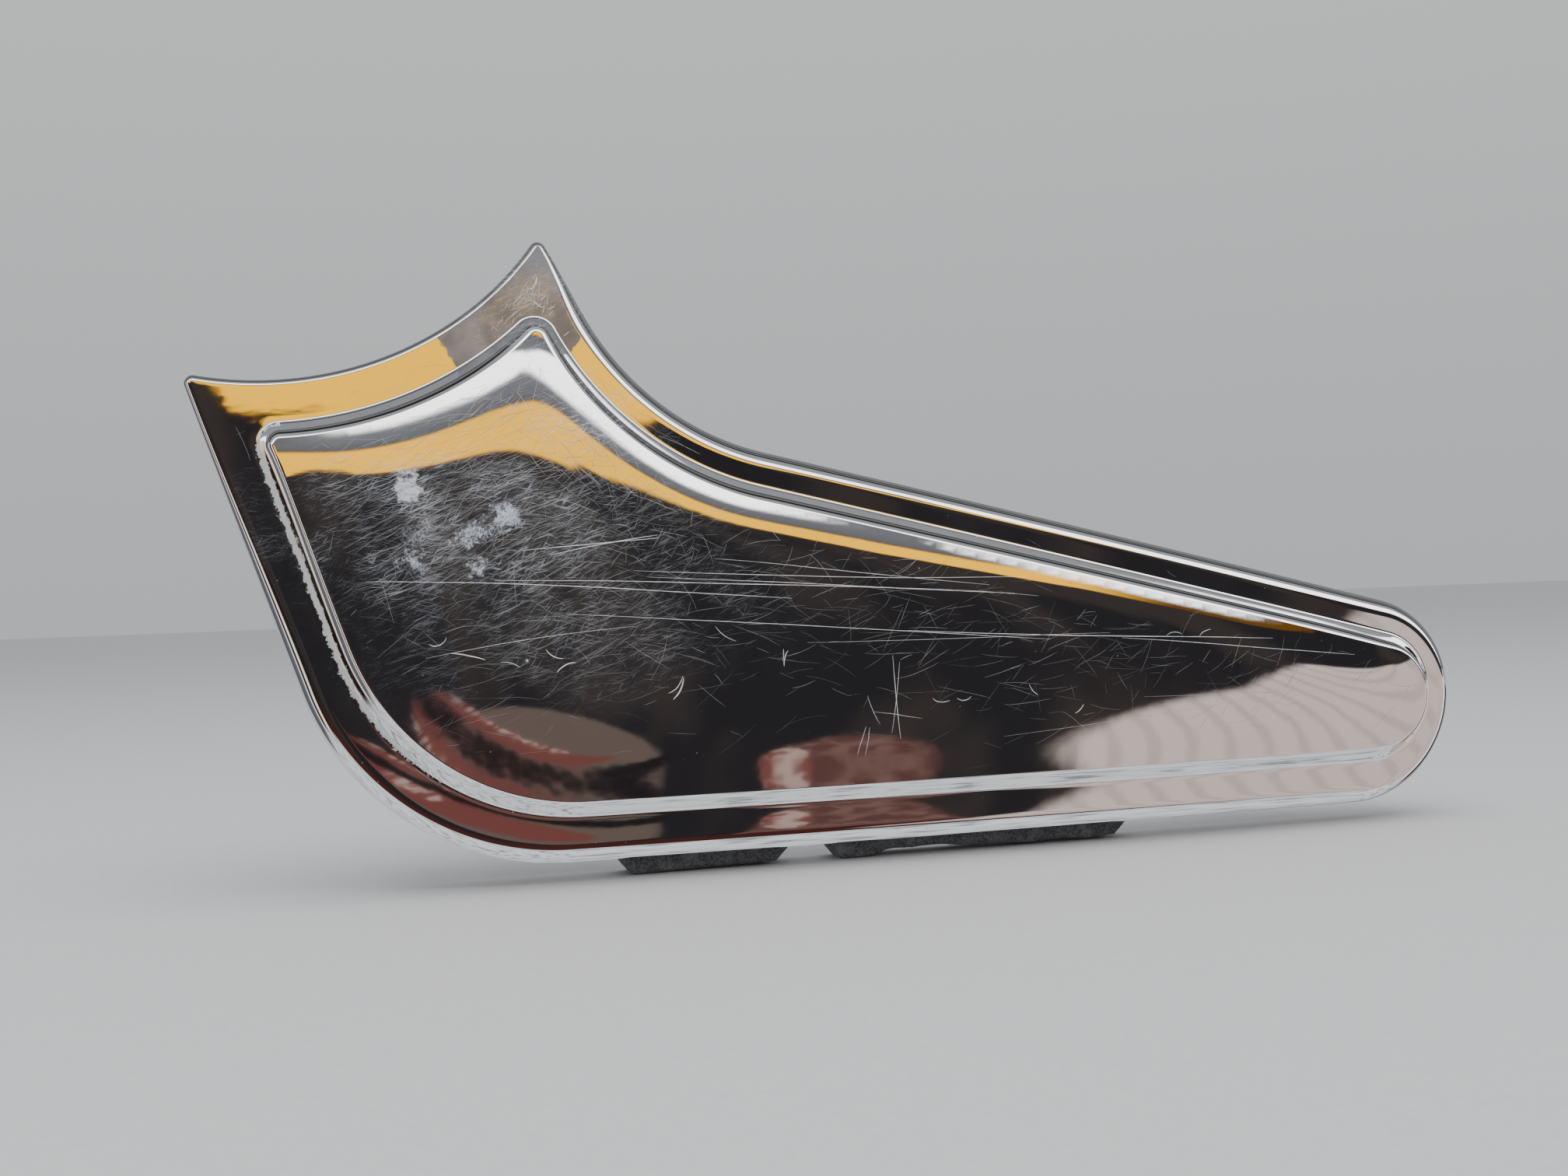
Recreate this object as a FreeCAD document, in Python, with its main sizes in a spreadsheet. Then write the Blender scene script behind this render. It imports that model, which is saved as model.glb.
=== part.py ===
"""Chromed motorcycle fuel-tank trim cover: a domed shell with a raised centre panel, held from
behind by three studs in brass inserts, with rubber cushions and foam strips against the tank.

Frame: millimetres, +Z up. +X runs along the straight lower edge towards the rounded tail, the
chromed face looks along -Y and the motorcycle is on the +Y side. The origin is on the axis of the
lower stud, where it crosses the back plane of the shell's skirt (y = 0).
"""
import FreeCAD
import Part

import math
import os

import Sketcher
from FreeCAD import Placement, Rotation, Vector

# Driving dimensions, in millimetres and degrees.
DIMENSIONS = {
    # Outline, measured from the lower stud
    "stud_to_bottom": 30.0,
    "corner_center_x": 8.6,
    "corner_radius": 39.9,
    "side_lean": 18.2,
    "notch_center_x": -33.8,
    "notch_center_z": 91.7,
    "notch_radius": 49.0,
    "horn_slope": 62.0,
    "sweep_center_x": 49.6,
    "sweep_radius": 40.3,
    "upper_slope": 13.7,
    "tail_center_x": 144.7,
    "tail_radius": 17.6,
    "tip_radius": 1.2,
    # Flat land between the rim and the raised panel
    "land_side": 6.6,
    "land_notch": 6.6,
    "land_upper": 5.8,
    "land_tail": 6.9,
    "land_bottom": 7.7,
    "land_corner": 2.9,
    "panel_tip_radius": 3.0,
    # Domed front and the shell's wall
    "dome_center_x": 56.0,
    "dome_center_z": 15.0,
    "land_height": 15.0,
    "land_radius_up": 260.0,
    "land_radius_along": 1500.0,
    "panel_height": 19.6,
    "panel_radius_up": 170.0,
    "panel_radius_along": 1000.0,
    "wall": 2.5,
    "core_tip_radius": 0.8,
    "rim_round": 2.6,
    "notch_round": 1.0,
    "shoulder_round": 2.4,
    "blank_depth": 30.0,
    # Stud places, measured from the lower stud
    "upper_stud_x": 6.0,
    "upper_stud_z": 36.0,
    "tail_stud_x": 126.0,
    "tail_stud_z": -10.0,
    # Bosses and ribs inside the shell
    "boss_radius": 5.6,
    "boss_face": 6.5,
    "gusset_reach": 9.5,
    "gusset_width": 1.6,
    "gusset_face": 9.0,
    "spine_width": 1.8,
    "spine_face": 11.0,
    # Threaded insert
    "insert_length": 5.5,
    "insert_radius": 3.5,
    "insert_bore_radius": 2.5,
    "insert_groove_start": 2.2,
    "insert_groove_width": 1.1,
    "insert_groove_radius": 3.1,
    "knurl_floor": 3.25,
    "knurl_width": 0.5,
    "knurl_count": 18,
    # Stud
    "stud_root_length": 5.0,
    "stud_neck_radius": 2.3,
    "stud_reach": 15.0,
    "stud_point": 0.8,
    "collar_across_flats": 8.0,
    "collar_thickness": 2.5,
    # Washer
    "washer_radius": 6.0,
    "washer_bore_radius": 2.65,
    "washer_thickness": 1.0,
    # Rubber cushion
    "cushion_radius": 7.0,
    "cushion_bore_radius": 2.6,
    "cushion_waist_radius": 6.2,
    "cushion_lip": 1.0,
    # Foam strips
    "foam_thickness": 3.0,
    "foam_width": 6.0,
    "foam_bevel": 2.4,
    "lower_front_foam_start": 16.2,
    "lower_front_foam_length": 27.7,
    "lower_rear_foam_start": 49.8,
    "lower_rear_foam_length": 52.1,
    "upper_foam_start": 12.0,
    "upper_foam_length": 60.0,
    "side_foam_start": 9.0,
    "side_foam_length": 26.0,
}
SHEET = "Params"
XZ_PLANE = Placement(Vector(), Rotation(Vector(1, 0, 0), 90))


def make_sheet(doc):
    """The spreadsheet of driving dimensions: names in column A, numbers with aliases in column B."""
    sheet = doc.addObject("Spreadsheet::Sheet", SHEET)
    for row, (name, value) in enumerate(DIMENSIONS.items(), start=1):
        sheet.set(f"A{row}", name)
        sheet.set(f"B{row}", str(value))
        sheet.setAlias(f"B{row}", name)
    doc.recompute()
    return sheet


def cell(name):
    """The expression that reads one cell."""
    return f"{SHEET}.{name}"


def bind(obj, **expressions):
    """Binds properties of obj to expressions on the sheet."""
    for prop, expression in expressions.items():
        obj.setExpression(prop, expression)


def turn_about_y(obj, angle):
    """Turns an object about +Y, which tips its X axis downwards for a positive angle."""
    for axis, part in (("x", "0"), ("y", "1"), ("z", "0")):
        obj.setExpression(f"Placement.Rotation.Axis.{axis}", part)
    obj.setExpression("Placement.Rotation.Angle", angle)


# ---------------------------------------------------------------- outlines


def line_side(slope_deg):
    """Unit direction of a line that falls by slope_deg towards +X, and its upper right normal."""
    turn = math.radians(slope_deg)
    return Vector(math.cos(turn), -math.sin(turn), 0), Vector(math.sin(turn), math.cos(turn), 0)


def meet_line_circle(point, direction, center, radius, towards):
    """Where a line meets a circle, taking the meeting point nearest to towards."""
    to_center = center - point
    along = to_center.dot(direction)
    foot = point + direction * along
    half = math.sqrt(radius**2 - (center - foot).Length ** 2)
    ends = [foot + direction * half, foot - direction * half]
    return min(ends, key=lambda p: (p - towards).Length)


def outline_points(p, inset, tip_radius):
    """Centres and joints of the outline's lines and arcs, moved inwards by the inset of each side."""
    bottom = -p["stud_to_bottom"] + inset["bottom"]
    # Centres that the full-size outline is built on
    corner_ref = Vector(p["corner_center_x"], -p["stud_to_bottom"] + p["corner_radius"], 0)
    tail_ref = Vector(p["tail_center_x"], -p["stud_to_bottom"] + p["tail_radius"], 0)
    upper_dir, upper_normal = line_side(p["upper_slope"])
    horn_dir, horn_normal = line_side(p["horn_slope"])
    lean = math.radians(p["side_lean"])
    side_dir = Vector(-math.sin(lean), math.cos(lean), 0)
    side_normal = Vector(math.cos(lean), math.sin(lean), 0)
    notch = Vector(p["notch_center_x"], p["notch_center_z"], 0)
    # Upper line, through the point above the tail's centre
    upper_at = tail_ref + upper_normal * (p["tail_radius"] - inset["upper"])
    tail_radius = p["tail_radius"] - inset["tail"]
    tail_z = bottom + tail_radius
    # The tail's centre is tail_radius below the upper line and above the bottom line
    gap = (upper_at - Vector(0, tail_z, 0)).dot(upper_normal) - tail_radius
    tail = Vector(gap / upper_normal.x, tail_z, 0)
    # Concave sweep between the upper line and the horn line
    sweep_radius = p["sweep_radius"] + inset["upper"]
    rise = upper_at + upper_normal * sweep_radius
    sweep = Vector(p["sweep_center_x"], 0, 0)
    sweep.y = rise.y - (sweep.x - rise.x) * math.tan(math.radians(p["upper_slope"]))
    # Round corner between the bottom and the side
    corner_radius = p["corner_radius"] - inset["corner"]
    side_at = corner_ref - side_normal * (p["corner_radius"] - inset["side"])
    corner_z = bottom + corner_radius
    reach = (side_at + side_normal * corner_radius - Vector(0, corner_z, 0)).dot(side_normal)
    corner = Vector(reach / side_normal.x, corner_z, 0)
    # Small rounds at the two horn tips: beside the line and outside the notch's circle
    notch_radius = p["notch_radius"] + inset["notch"]
    horn_at = sweep - horn_normal * sweep_radius
    high = meet_line_circle(
        horn_at - horn_normal * tip_radius, horn_dir, notch, notch_radius + tip_radius, horn_at
    )
    low = meet_line_circle(
        side_at + side_normal * tip_radius, side_dir, notch, notch_radius + tip_radius, side_at
    )
    return {
        "corner": corner, "corner_radius": corner_radius, "tail": tail, "tail_radius": tail_radius,
        "sweep": sweep, "sweep_radius": sweep_radius, "high": high, "low": low,
        "notch": notch, "notch_radius": notch_radius,
        "bottom_left": Vector(corner.x, bottom, 0),
        "bottom_right": Vector(tail.x, bottom, 0),
        "tail_top": tail + upper_normal * tail_radius,
        "sweep_end": sweep - upper_normal * sweep_radius,
        "sweep_start": sweep - horn_normal * sweep_radius,
        "horn_top": high + horn_normal * tip_radius,
        "notch_high": high + (notch - high).normalize() * tip_radius,
        "notch_low": low + (notch - low).normalize() * tip_radius,
        "side_top": low - side_normal * tip_radius,
        "corner_start": corner - side_normal * corner_radius,
        "corner_ref": corner_ref, "tail_ref": tail_ref,
    }


def arc_through(center, radius, first, last):
    """Counterclockwise arc of a circle from first to last."""
    start = math.atan2(first.y - center.y, first.x - center.x)
    end = math.atan2(last.y - center.y, last.x - center.x)
    return Part.ArcOfCircle(Part.Circle(center, Vector(0, 0, 1), radius), start, end)


SIDES = ("bottom", "tail", "upper", "notch", "side", "corner")
START, END, CENTER = 1, 2, 3


def make_outline(doc, name, insets, tip_alias):
    """A closed sketch of the cover's outline in the XZ plane. insets gives, for each side, an
    expression on the sheet for how far that side lies inside the full outline."""
    p = DIMENSIONS
    values = {side: inset_value(insets[side]) for side in SIDES}
    g = outline_points(p, values, p[tip_alias])
    sketch = doc.addObject("Sketcher::SketchObject", name)
    sketch.Placement = XZ_PLANE
    # The outline runs counterclockwise. Each entry is an edge and which of its ends comes first.
    bottom = sketch.addGeometry(Part.LineSegment(g["bottom_left"], g["bottom_right"]))
    tail = sketch.addGeometry(
        arc_through(g["tail"], g["tail_radius"], g["bottom_right"], g["tail_top"])
    )
    upper = sketch.addGeometry(Part.LineSegment(g["tail_top"], g["sweep_end"]))
    sweep = sketch.addGeometry(
        arc_through(g["sweep"], g["sweep_radius"], g["sweep_start"], g["sweep_end"])
    )
    horn = sketch.addGeometry(Part.LineSegment(g["sweep_start"], g["horn_top"]))
    tip = p[tip_alias]
    high = sketch.addGeometry(arc_through(g["high"], tip, g["horn_top"], g["notch_high"]))
    notch = sketch.addGeometry(
        arc_through(g["notch"], g["notch_radius"], g["notch_low"], g["notch_high"])
    )
    low = sketch.addGeometry(arc_through(g["low"], tip, g["notch_low"], g["side_top"]))
    side = sketch.addGeometry(Part.LineSegment(g["side_top"], g["corner_start"]))
    corner = sketch.addGeometry(
        arc_through(g["corner"], g["corner_radius"], g["corner_start"], g["bottom_left"])
    )
    corner_ref = sketch.addGeometry(Part.Point(g["corner_ref"]), True)
    tail_ref = sketch.addGeometry(Part.Point(g["tail_ref"]), True)

    def smooth(first, first_end, second, second_end):
        sketch.addConstraint(Sketcher.Constraint("Tangent", first, first_end, second, second_end))

    smooth(bottom, END, tail, START)
    smooth(tail, END, upper, START)
    smooth(upper, END, sweep, END)
    smooth(sweep, START, horn, START)
    smooth(horn, END, high, START)
    smooth(high, END, notch, END)
    smooth(notch, START, low, START)
    smooth(low, END, side, START)
    smooth(side, END, corner, START)
    smooth(corner, END, bottom, START)

    def drive(constraint, expression):
        index = sketch.addConstraint(constraint)
        sketch.setExpression(f"Constraints[{index}]", expression)

    def place(index, where, x_alias, z_expression, point):
        drive(Sketcher.Constraint("DistanceX", -1, 1, index, where, point.x), cell(x_alias))
        drive(Sketcher.Constraint("DistanceY", -1, 1, index, where, point.y), z_expression)

    lift = f"-{cell('stud_to_bottom')}"
    place(corner_ref, 1, "corner_center_x", f"{lift} + {cell('corner_radius')}", g["corner_ref"])
    place(tail_ref, 1, "tail_center_x", f"{lift} + {cell('tail_radius')}", g["tail_ref"])
    place(notch, CENTER, "notch_center_x", cell("notch_center_z"), g["notch"])
    sketch.addConstraint(Sketcher.Constraint("Horizontal", bottom))
    drive(
        Sketcher.Constraint("DistanceY", -1, 1, bottom, START, g["bottom_left"].y),
        f"{lift} + {insets['bottom']}",
    )
    for edge, radius, expression in (
        (tail, g["tail_radius"], f"{cell('tail_radius')} - ({insets['tail']})"),
        (sweep, g["sweep_radius"], f"{cell('sweep_radius')} + {insets['upper']}"),
        (corner, g["corner_radius"], f"{cell('corner_radius')} - ({insets['corner']})"),
        (notch, g["notch_radius"], f"{cell('notch_radius')} + {insets['notch']}"),
        (high, tip, cell(tip_alias)),
        (low, tip, cell(tip_alias)),
    ):
        drive(Sketcher.Constraint("Radius", edge, radius), expression)
    drive(
        Sketcher.Constraint("DistanceX", -1, 1, sweep, CENTER, g["sweep"].x),
        cell("sweep_center_x"),
    )
    half_turn = math.pi
    for edge, angle, expression in (
        (upper, half_turn - math.radians(p["upper_slope"]), f"180 - {cell('upper_slope')}"),
        (horn, half_turn - math.radians(p["horn_slope"]), f"180 - {cell('horn_slope')}"),
        (side, math.radians(p["side_lean"]) - half_turn / 2, f"{cell('side_lean')} - 90"),
    ):
        drive(Sketcher.Constraint("Angle", edge, angle), f"({expression}) * 1 deg")
    for point, edge, distance, expression in (
        (tail_ref, upper, p["tail_radius"] - values["upper"],
         f"{cell('tail_radius')} - ({insets['upper']})"),
        (corner_ref, side, p["corner_radius"] - values["side"],
         f"{cell('corner_radius')} - ({insets['side']})"),
    ):
        drive(Sketcher.Constraint("Distance", point, 1, edge, distance), expression)
    return sketch


def inset_value(expression):
    """The number that an inset expression such as 'Params.land_side + Params.wall' stands for."""
    total = 0.0
    for term in expression.split("+"):
        name = term.strip().removeprefix(f"{SHEET}.")
        total += DIMENSIONS[name] if name in DIMENSIONS else float(name)
    return total


# ---------------------------------------------------------------- shell


def make_dome(doc, name, surface, depth="0"):
    """A torus whose outermost side is a domed front: curved one way upwards and another way along.
    depth is how far the dome lies under the land's or the panel's surface."""
    dome = doc.addObject("Part::Torus", name)
    radius_up = cell(f"{surface}_radius_up")
    radius_along = cell(f"{surface}_radius_along")
    bind(dome, Radius1=f"{radius_along} - {radius_up}", Radius2=f"{radius_up} - {depth}")
    dome.setExpression("Placement.Base.x", cell("dome_center_x"))
    dome.setExpression("Placement.Base.y", f"{radius_along} - {cell(f'{surface}_height')}")
    dome.setExpression("Placement.Base.z", cell("dome_center_z"))
    return dome


def make_domed_blank(doc, name, sketch, dome):
    """The sketch extruded towards the front and cut off by the dome."""
    prism = doc.addObject("Part::Extrusion", f"{name}_prism")
    prism.Base = sketch
    prism.DirMode = "Normal"
    prism.Solid = True
    bind(prism, LengthFwd=cell("blank_depth"))
    blank = doc.addObject("Part::MultiCommon", name)
    blank.Shapes = [prism, dome]
    doc.recompute()
    return blank


def domed_face(shape):
    """The face of a blank that faces the front."""
    return min(shape.Faces, key=lambda face: face.CenterOfMass.y)


def round_rim(doc, name, blank):
    """Rounds a blank's front edge: fully along the convex sides, and only a little round the
    concave notch and its tips, with the radius running from one to the other in between."""
    big = getattr(doc.getObject(SHEET), "rim_round")
    small = getattr(doc.getObject(SHEET), "notch_round")
    front = domed_face(blank.Shape)
    notch = Vector(DIMENSIONS["notch_center_x"], 0, DIMENSIONS["notch_center_z"])
    limit = DIMENSIONS["notch_radius"] + 2 * DIMENSIONS["tip_radius"]

    def near_notch(point):
        return math.hypot(point.x - notch.x, point.z - notch.z) < limit

    rounds = []
    middle = Vector(DIMENSIONS["dome_center_x"], 0, 0)
    for number, edge in enumerate(blank.Shape.Edges, start=1):
        if not any(edge.isSame(other) for other in front.Edges):
            continue
        first = edge.valueAt(edge.FirstParameter)
        last = edge.valueAt(edge.LastParameter)
        # The two radii of an edge are read in the sense that runs clockwise round the front
        if (first - middle).cross(last - middle).y < 0:
            first, last = last, first
        rounds.append((
            number, small if near_notch(first) else big, small if near_notch(last) else big
        ))
    fillet = doc.addObject("Part::Fillet", name)
    fillet.Base = blank
    fillet.Edges = rounds
    doc.recompute()
    return fillet


def round_front(doc, name, blank, radius_alias):
    """Rounds the whole front edge of a blank with one radius."""
    radius = getattr(doc.getObject(SHEET), radius_alias)
    front = domed_face(blank.Shape)
    fillet = doc.addObject("Part::Fillet", name)
    fillet.Base = blank
    fillet.Edges = [
        (number, radius, radius)
        for number, edge in enumerate(blank.Shape.Edges, start=1)
        if any(edge.isSame(other) for other in front.Edges)
    ]
    doc.recompute()
    return fillet


STUDS = {
    "lower": ("0", "0"),
    "upper": (cell("upper_stud_x"), cell("upper_stud_z")),
    "tail": (cell("tail_stud_x"), cell("tail_stud_z")),
}


def make_cylinder(doc, name, radius, height, x, front, z):
    """A cylinder along Y that starts front millimetres in front of the back plane and runs on
    towards the front."""
    cylinder = doc.addObject("Part::Cylinder", name)
    cylinder.Placement = XZ_PLANE
    bind(cylinder, Radius=radius, Height=height)
    cylinder.setExpression("Placement.Base.x", x)
    cylinder.setExpression("Placement.Base.y", f"-({front})")
    cylinder.setExpression("Placement.Base.z", z)
    return cylinder


def make_box(doc, name, size, corner):
    """A box from expressions for its size and for the corner with the least coordinates."""
    box = doc.addObject("Part::Box", name)
    bind(box, Length=size[0], Width=size[1], Height=size[2])
    for axis, expression in zip("xyz", corner):
        box.setExpression(f"Placement.Base.{axis}", expression)
    return box


def make_shell(doc):
    """The chromed shell: a land that follows the dome, a raised panel, a hollow back with a boss
    for each insert, gussets on the bosses and a spine that joins the two front bosses to the tail."""
    land = {side: cell(f"land_{side}") for side in SIDES}
    wall = {side: cell("wall") for side in SIDES}
    both = {side: f"{cell(f'land_{side}')} + {cell('wall')}" for side in SIDES}
    parts = {}
    for name, insets, tip, surface, depth in (
        ("land", {side: "0" for side in SIDES}, "tip_radius", "land", "0"),
        ("panel", land, "panel_tip_radius", "panel", "0"),
        ("land_core", wall, "core_tip_radius", "land", cell("wall")),
        ("panel_core", both, "core_tip_radius", "panel", cell("wall")),
    ):
        sketch = make_outline(doc, f"{name}_outline", insets, tip)
        dome = make_dome(doc, f"{name}_dome", surface, depth)
        parts[name] = make_domed_blank(doc, f"{name}_blank", sketch, dome)
    rim = round_rim(doc, "rim_rounded", parts["land"])
    shoulder = round_front(doc, "shoulder_rounded", parts["panel"], "shoulder_round")

    outside = doc.addObject("Part::MultiFuse", "outside")
    outside.Shapes = [rim, shoulder]
    inside = doc.addObject("Part::MultiFuse", "inside")
    inside.Shapes = [parts["land_core"], parts["panel_core"]]

    stays = []
    for name, (x, z) in STUDS.items():
        stays.append(make_cylinder(
            doc, f"{name}_boss", cell("boss_radius"), cell("blank_depth"), x, cell("boss_face"), z
        ))
        reach, width = cell("gusset_reach"), cell("gusset_width")
        deep = f"{cell('blank_depth')} - {cell('gusset_face')}"
        near = f"-{cell('blank_depth')}"
        stays.append(make_box(
            doc, f"{name}_gusset_along", (f"2 * {reach}", deep, width),
            (f"{x} - {reach}", near, f"{z} - {width} / 2"),
        ))
        stays.append(make_box(
            doc, f"{name}_gusset_across", (width, deep, f"2 * {reach}"),
            (f"{x} - {width} / 2", near, f"{z} - {reach}"),
        ))
    # The spine runs from the lower boss to the tail boss
    spine = make_box(
        doc, "spine",
        (f"sqrt({cell('tail_stud_x')}^2 + {cell('tail_stud_z')}^2)",
         f"{cell('blank_depth')} - {cell('spine_face')}", cell("spine_width")),
        ("0", f"-{cell('blank_depth')}", "0"),
    )
    turn_about_y(spine, f"atan(-{cell('tail_stud_z')} / {cell('tail_stud_x')})")
    stays.append(spine)
    stay_set = doc.addObject("Part::MultiFuse", "stays")
    stay_set.Shapes = stays
    core = doc.addObject("Part::Cut", "core")
    core.Base, core.Tool = inside, stay_set
    hollow = doc.addObject("Part::Cut", "hollow")
    hollow.Base, hollow.Tool = outside, core
    seats = doc.addObject("Part::MultiFuse", "insert_seats")
    seats.Shapes = [
        make_cylinder(doc, f"{name}_seat", cell("insert_radius"), cell("insert_length"),
                      x, cell("boss_face"), z)
        for name, (x, z) in STUDS.items()
    ]
    shell = doc.addObject("Part::Cut", "trim_shell")
    shell.Base, shell.Tool = hollow, seats
    shell.Label = "Trim shell"
    doc.recompute()
    return shell


# ---------------------------------------------------------------- bodies


def plane_of(body, role):
    """One of the body's own origin planes."""
    return next(f for f in body.Origin.OriginFeatures if f.Role == role)


def attach_sketch(body, name, role, offset="0"):
    """A sketch on one of the body's own planes, lifted off it by an expression."""
    sketch = body.newObject("Sketcher::SketchObject", name)
    sketch.AttachmentSupport = (plane_of(body, role), [""])
    sketch.MapMode = "FlatFace"
    if offset != "0":
        sketch.setExpression("AttachmentOffset.Base.z", offset)
    return sketch


def add_polygon(sketch, corners):
    """A closed polygon whose corners are driven by pairs of expressions."""
    sheet = sketch.Document.getObject(SHEET)
    points = [
        Vector(*(float(sheet.evalExpression(f"({e}) * 1.0")) for e in corner), 0)
        for corner in corners
    ]
    first = sketch.GeometryCount
    count = len(points)
    for i in range(count):
        sketch.addGeometry(Part.LineSegment(points[i], points[(i + 1) % count]))
    for i in range(count):
        sketch.addConstraint(
            Sketcher.Constraint("Coincident", first + i, END, first + (i + 1) % count, START)
        )
    for i, (point, corner) in enumerate(zip(points, corners)):
        for kind, value, expression, axis in (
            ("DistanceX", point.x, corner[0], -2), ("DistanceY", point.y, corner[1], -1)
        ):
            if expression == "0":
                sketch.addConstraint(
                    Sketcher.Constraint("PointOnObject", first + i, START, axis)
                )
                continue
            index = sketch.addConstraint(
                Sketcher.Constraint(kind, -1, 1, first + i, START, value)
            )
            sketch.setExpression(f"Constraints[{index}]", expression)


def new_body(doc, name, label, x="0", z="0"):
    """An empty body whose own origin lies at x, z on the back plane."""
    body = doc.addObject("PartDesign::Body", name)
    body.Label = label
    if (x, z) != ("0", "0"):
        body.setExpression("Placement.Base.x", x)
        body.setExpression("Placement.Base.z", z)
    return body


def turn(body, name, corners):
    """Adds a solid turned round the body's Y axis. Corners are (radius, y) expressions."""
    sketch = attach_sketch(body, f"{name}_profile", "XY_Plane")
    add_polygon(sketch, corners)
    turned = body.newObject("PartDesign::Revolution", name)
    turned.Profile = (sketch, [""])
    turned.ReferenceAxis = (sketch, ["V_Axis"])
    turned.Angle = 360
    return turned


def make_insert(doc, name, label, x, z):
    """A knurled brass insert, its mouth flush with the boss."""
    body = new_body(doc, name, label, x, z)
    mouth = f"-{cell('boss_face')}"
    foot = f"{mouth} - {cell('insert_length')}"
    groove_near = f"{mouth} - {cell('insert_groove_start')}"
    groove_far = f"{groove_near} - {cell('insert_groove_width')}"
    bore, outer = cell("insert_bore_radius"), cell("insert_radius")
    groove = cell("insert_groove_radius")
    turn(body, f"{name}_sleeve", [
        (bore, foot), (outer, foot), (outer, groove_far), (groove, groove_far),
        (groove, groove_near), (outer, groove_near), (outer, mouth), (bore, mouth),
    ])
    doc.recompute()
    before = body.Shape.Volume
    flute = attach_sketch(body, f"{name}_flute", "XZ_Plane", f"{cell('boss_face')} - 1")
    half = f"{cell('knurl_width')} / 2"
    inner, outer_end = cell("knurl_floor"), f"{outer} + 1"
    add_polygon(flute, [
        (inner, f"-{half}"), (outer_end, f"-{half}"), (outer_end, half), (inner, half),
    ])
    pocket = body.newObject("PartDesign::Pocket", f"{name}_knurl")
    pocket.Profile = (flute, [""])
    pocket.setExpression("Length", f"{cell('insert_length')} + 2")
    pocket.Reversed = True
    doc.recompute()
    if body.Shape.Volume > before - 0.1:
        raise RuntimeError(f"{name}: the knurl did not cut")
    pattern = body.newObject("PartDesign::PolarPattern", f"{name}_knurls")
    pattern.Originals = [pocket]
    pattern.Axis = (flute, ["N_Axis"])
    pattern.Angle = 360
    pattern.setExpression("Occurrences", cell("knurl_count"))
    body.Tip = pattern
    doc.recompute()
    return body


def make_stud(doc, name, label, x, z):
    """A stud with a hexagonal collar: its root in the insert, a neck through the washer and the
    cushion, and its free end standing out of the back plane."""
    body = new_body(doc, name, label, x, z)
    radius, neck = cell("insert_bore_radius"), cell("stud_neck_radius")
    point, reach = cell("stud_point"), cell("stud_reach")
    seat = f"-{cell('boss_face')}"
    root = f"{seat} - {cell('stud_root_length')}"
    turn(body, f"{name}_shank", [
        ("0", root), (f"{radius} - {point}", root), (radius, f"{root} + {point}"), (radius, seat),
        (neck, seat), (neck, "0"), (radius, "0"), (radius, f"{reach} - {point}"),
        (f"{radius} - {point}", reach), ("0", reach),
    ])
    face = attach_sketch(
        body, f"{name}_hexagon", "XZ_Plane",
        f"{cell('boss_face')} - {cell('collar_thickness')}",
    )
    corner = f"{cell('collar_across_flats')} / 2 / cos(30)"
    add_polygon(face, [
        (f"{corner} * cos({angle})", f"{corner} * sin({angle})" if angle % 180 else "0")
        for angle in range(0, 360, 60)
    ])
    collar = body.newObject("PartDesign::Pad", f"{name}_collar")
    collar.Profile = (face, [""])
    collar.setExpression("Length", cell("collar_thickness"))
    doc.recompute()
    return body


def make_washer(doc, name, label, x, z):
    """A flat steel washer against the stud's collar."""
    body = new_body(doc, name, label, x, z)
    near = f"-{cell('boss_face')} + {cell('collar_thickness')}"
    far = f"{near} + {cell('washer_thickness')}"
    bore, outer = cell("washer_bore_radius"), cell("washer_radius")
    turn(body, f"{name}_ring", [(bore, near), (outer, near), (outer, far), (bore, far)])
    doc.recompute()
    return body


def make_cushion(doc, name, label, x, z):
    """A rubber cushion between the washer and the motorcycle, with a waist round its middle."""
    body = new_body(doc, name, label, x, z)
    near = f"-{cell('boss_face')} + {cell('collar_thickness')} + {cell('washer_thickness')}"
    lip = cell("cushion_lip")
    bore, outer, waist = (
        cell("cushion_bore_radius"), cell("cushion_radius"), cell("cushion_waist_radius")
    )
    turn(body, f"{name}_ring", [
        (bore, near), (outer, near), (outer, f"{near} + {lip}"), (waist, f"{near} + {lip}"),
        (waist, f"-{lip}"), (outer, f"-{lip}"), (outer, "0"), (bore, "0"),
    ])
    doc.recompute()
    return body


def make_foam(doc, name, label, start, length, angle="0", level="0", bevel="foam_bevel"):
    """A foam strip lying along a straight wall: start and length are measured along the wall,
    level is the wall's height in the strip's turned frame, and the foam lies below it."""
    body = doc.addObject("PartDesign::Body", name)
    body.Label = label
    if angle != "0":
        turn_about_y(body, angle)
    side = attach_sketch(body, f"{name}_outline", "XZ_Plane")
    low = f"{level} - {cell('foam_thickness')}"
    end = f"{start} + {length}"
    add_polygon(side, [
        (start, level), (f"{start} + {cell(bevel)}", low), (f"{end} - {cell(bevel)}", low),
        (end, level),
    ])
    strip = body.newObject("PartDesign::Pad", f"{name}_strip")
    strip.Profile = (side, [""])
    strip.setExpression("Length", cell("foam_width"))
    doc.recompute()
    return body


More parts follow.
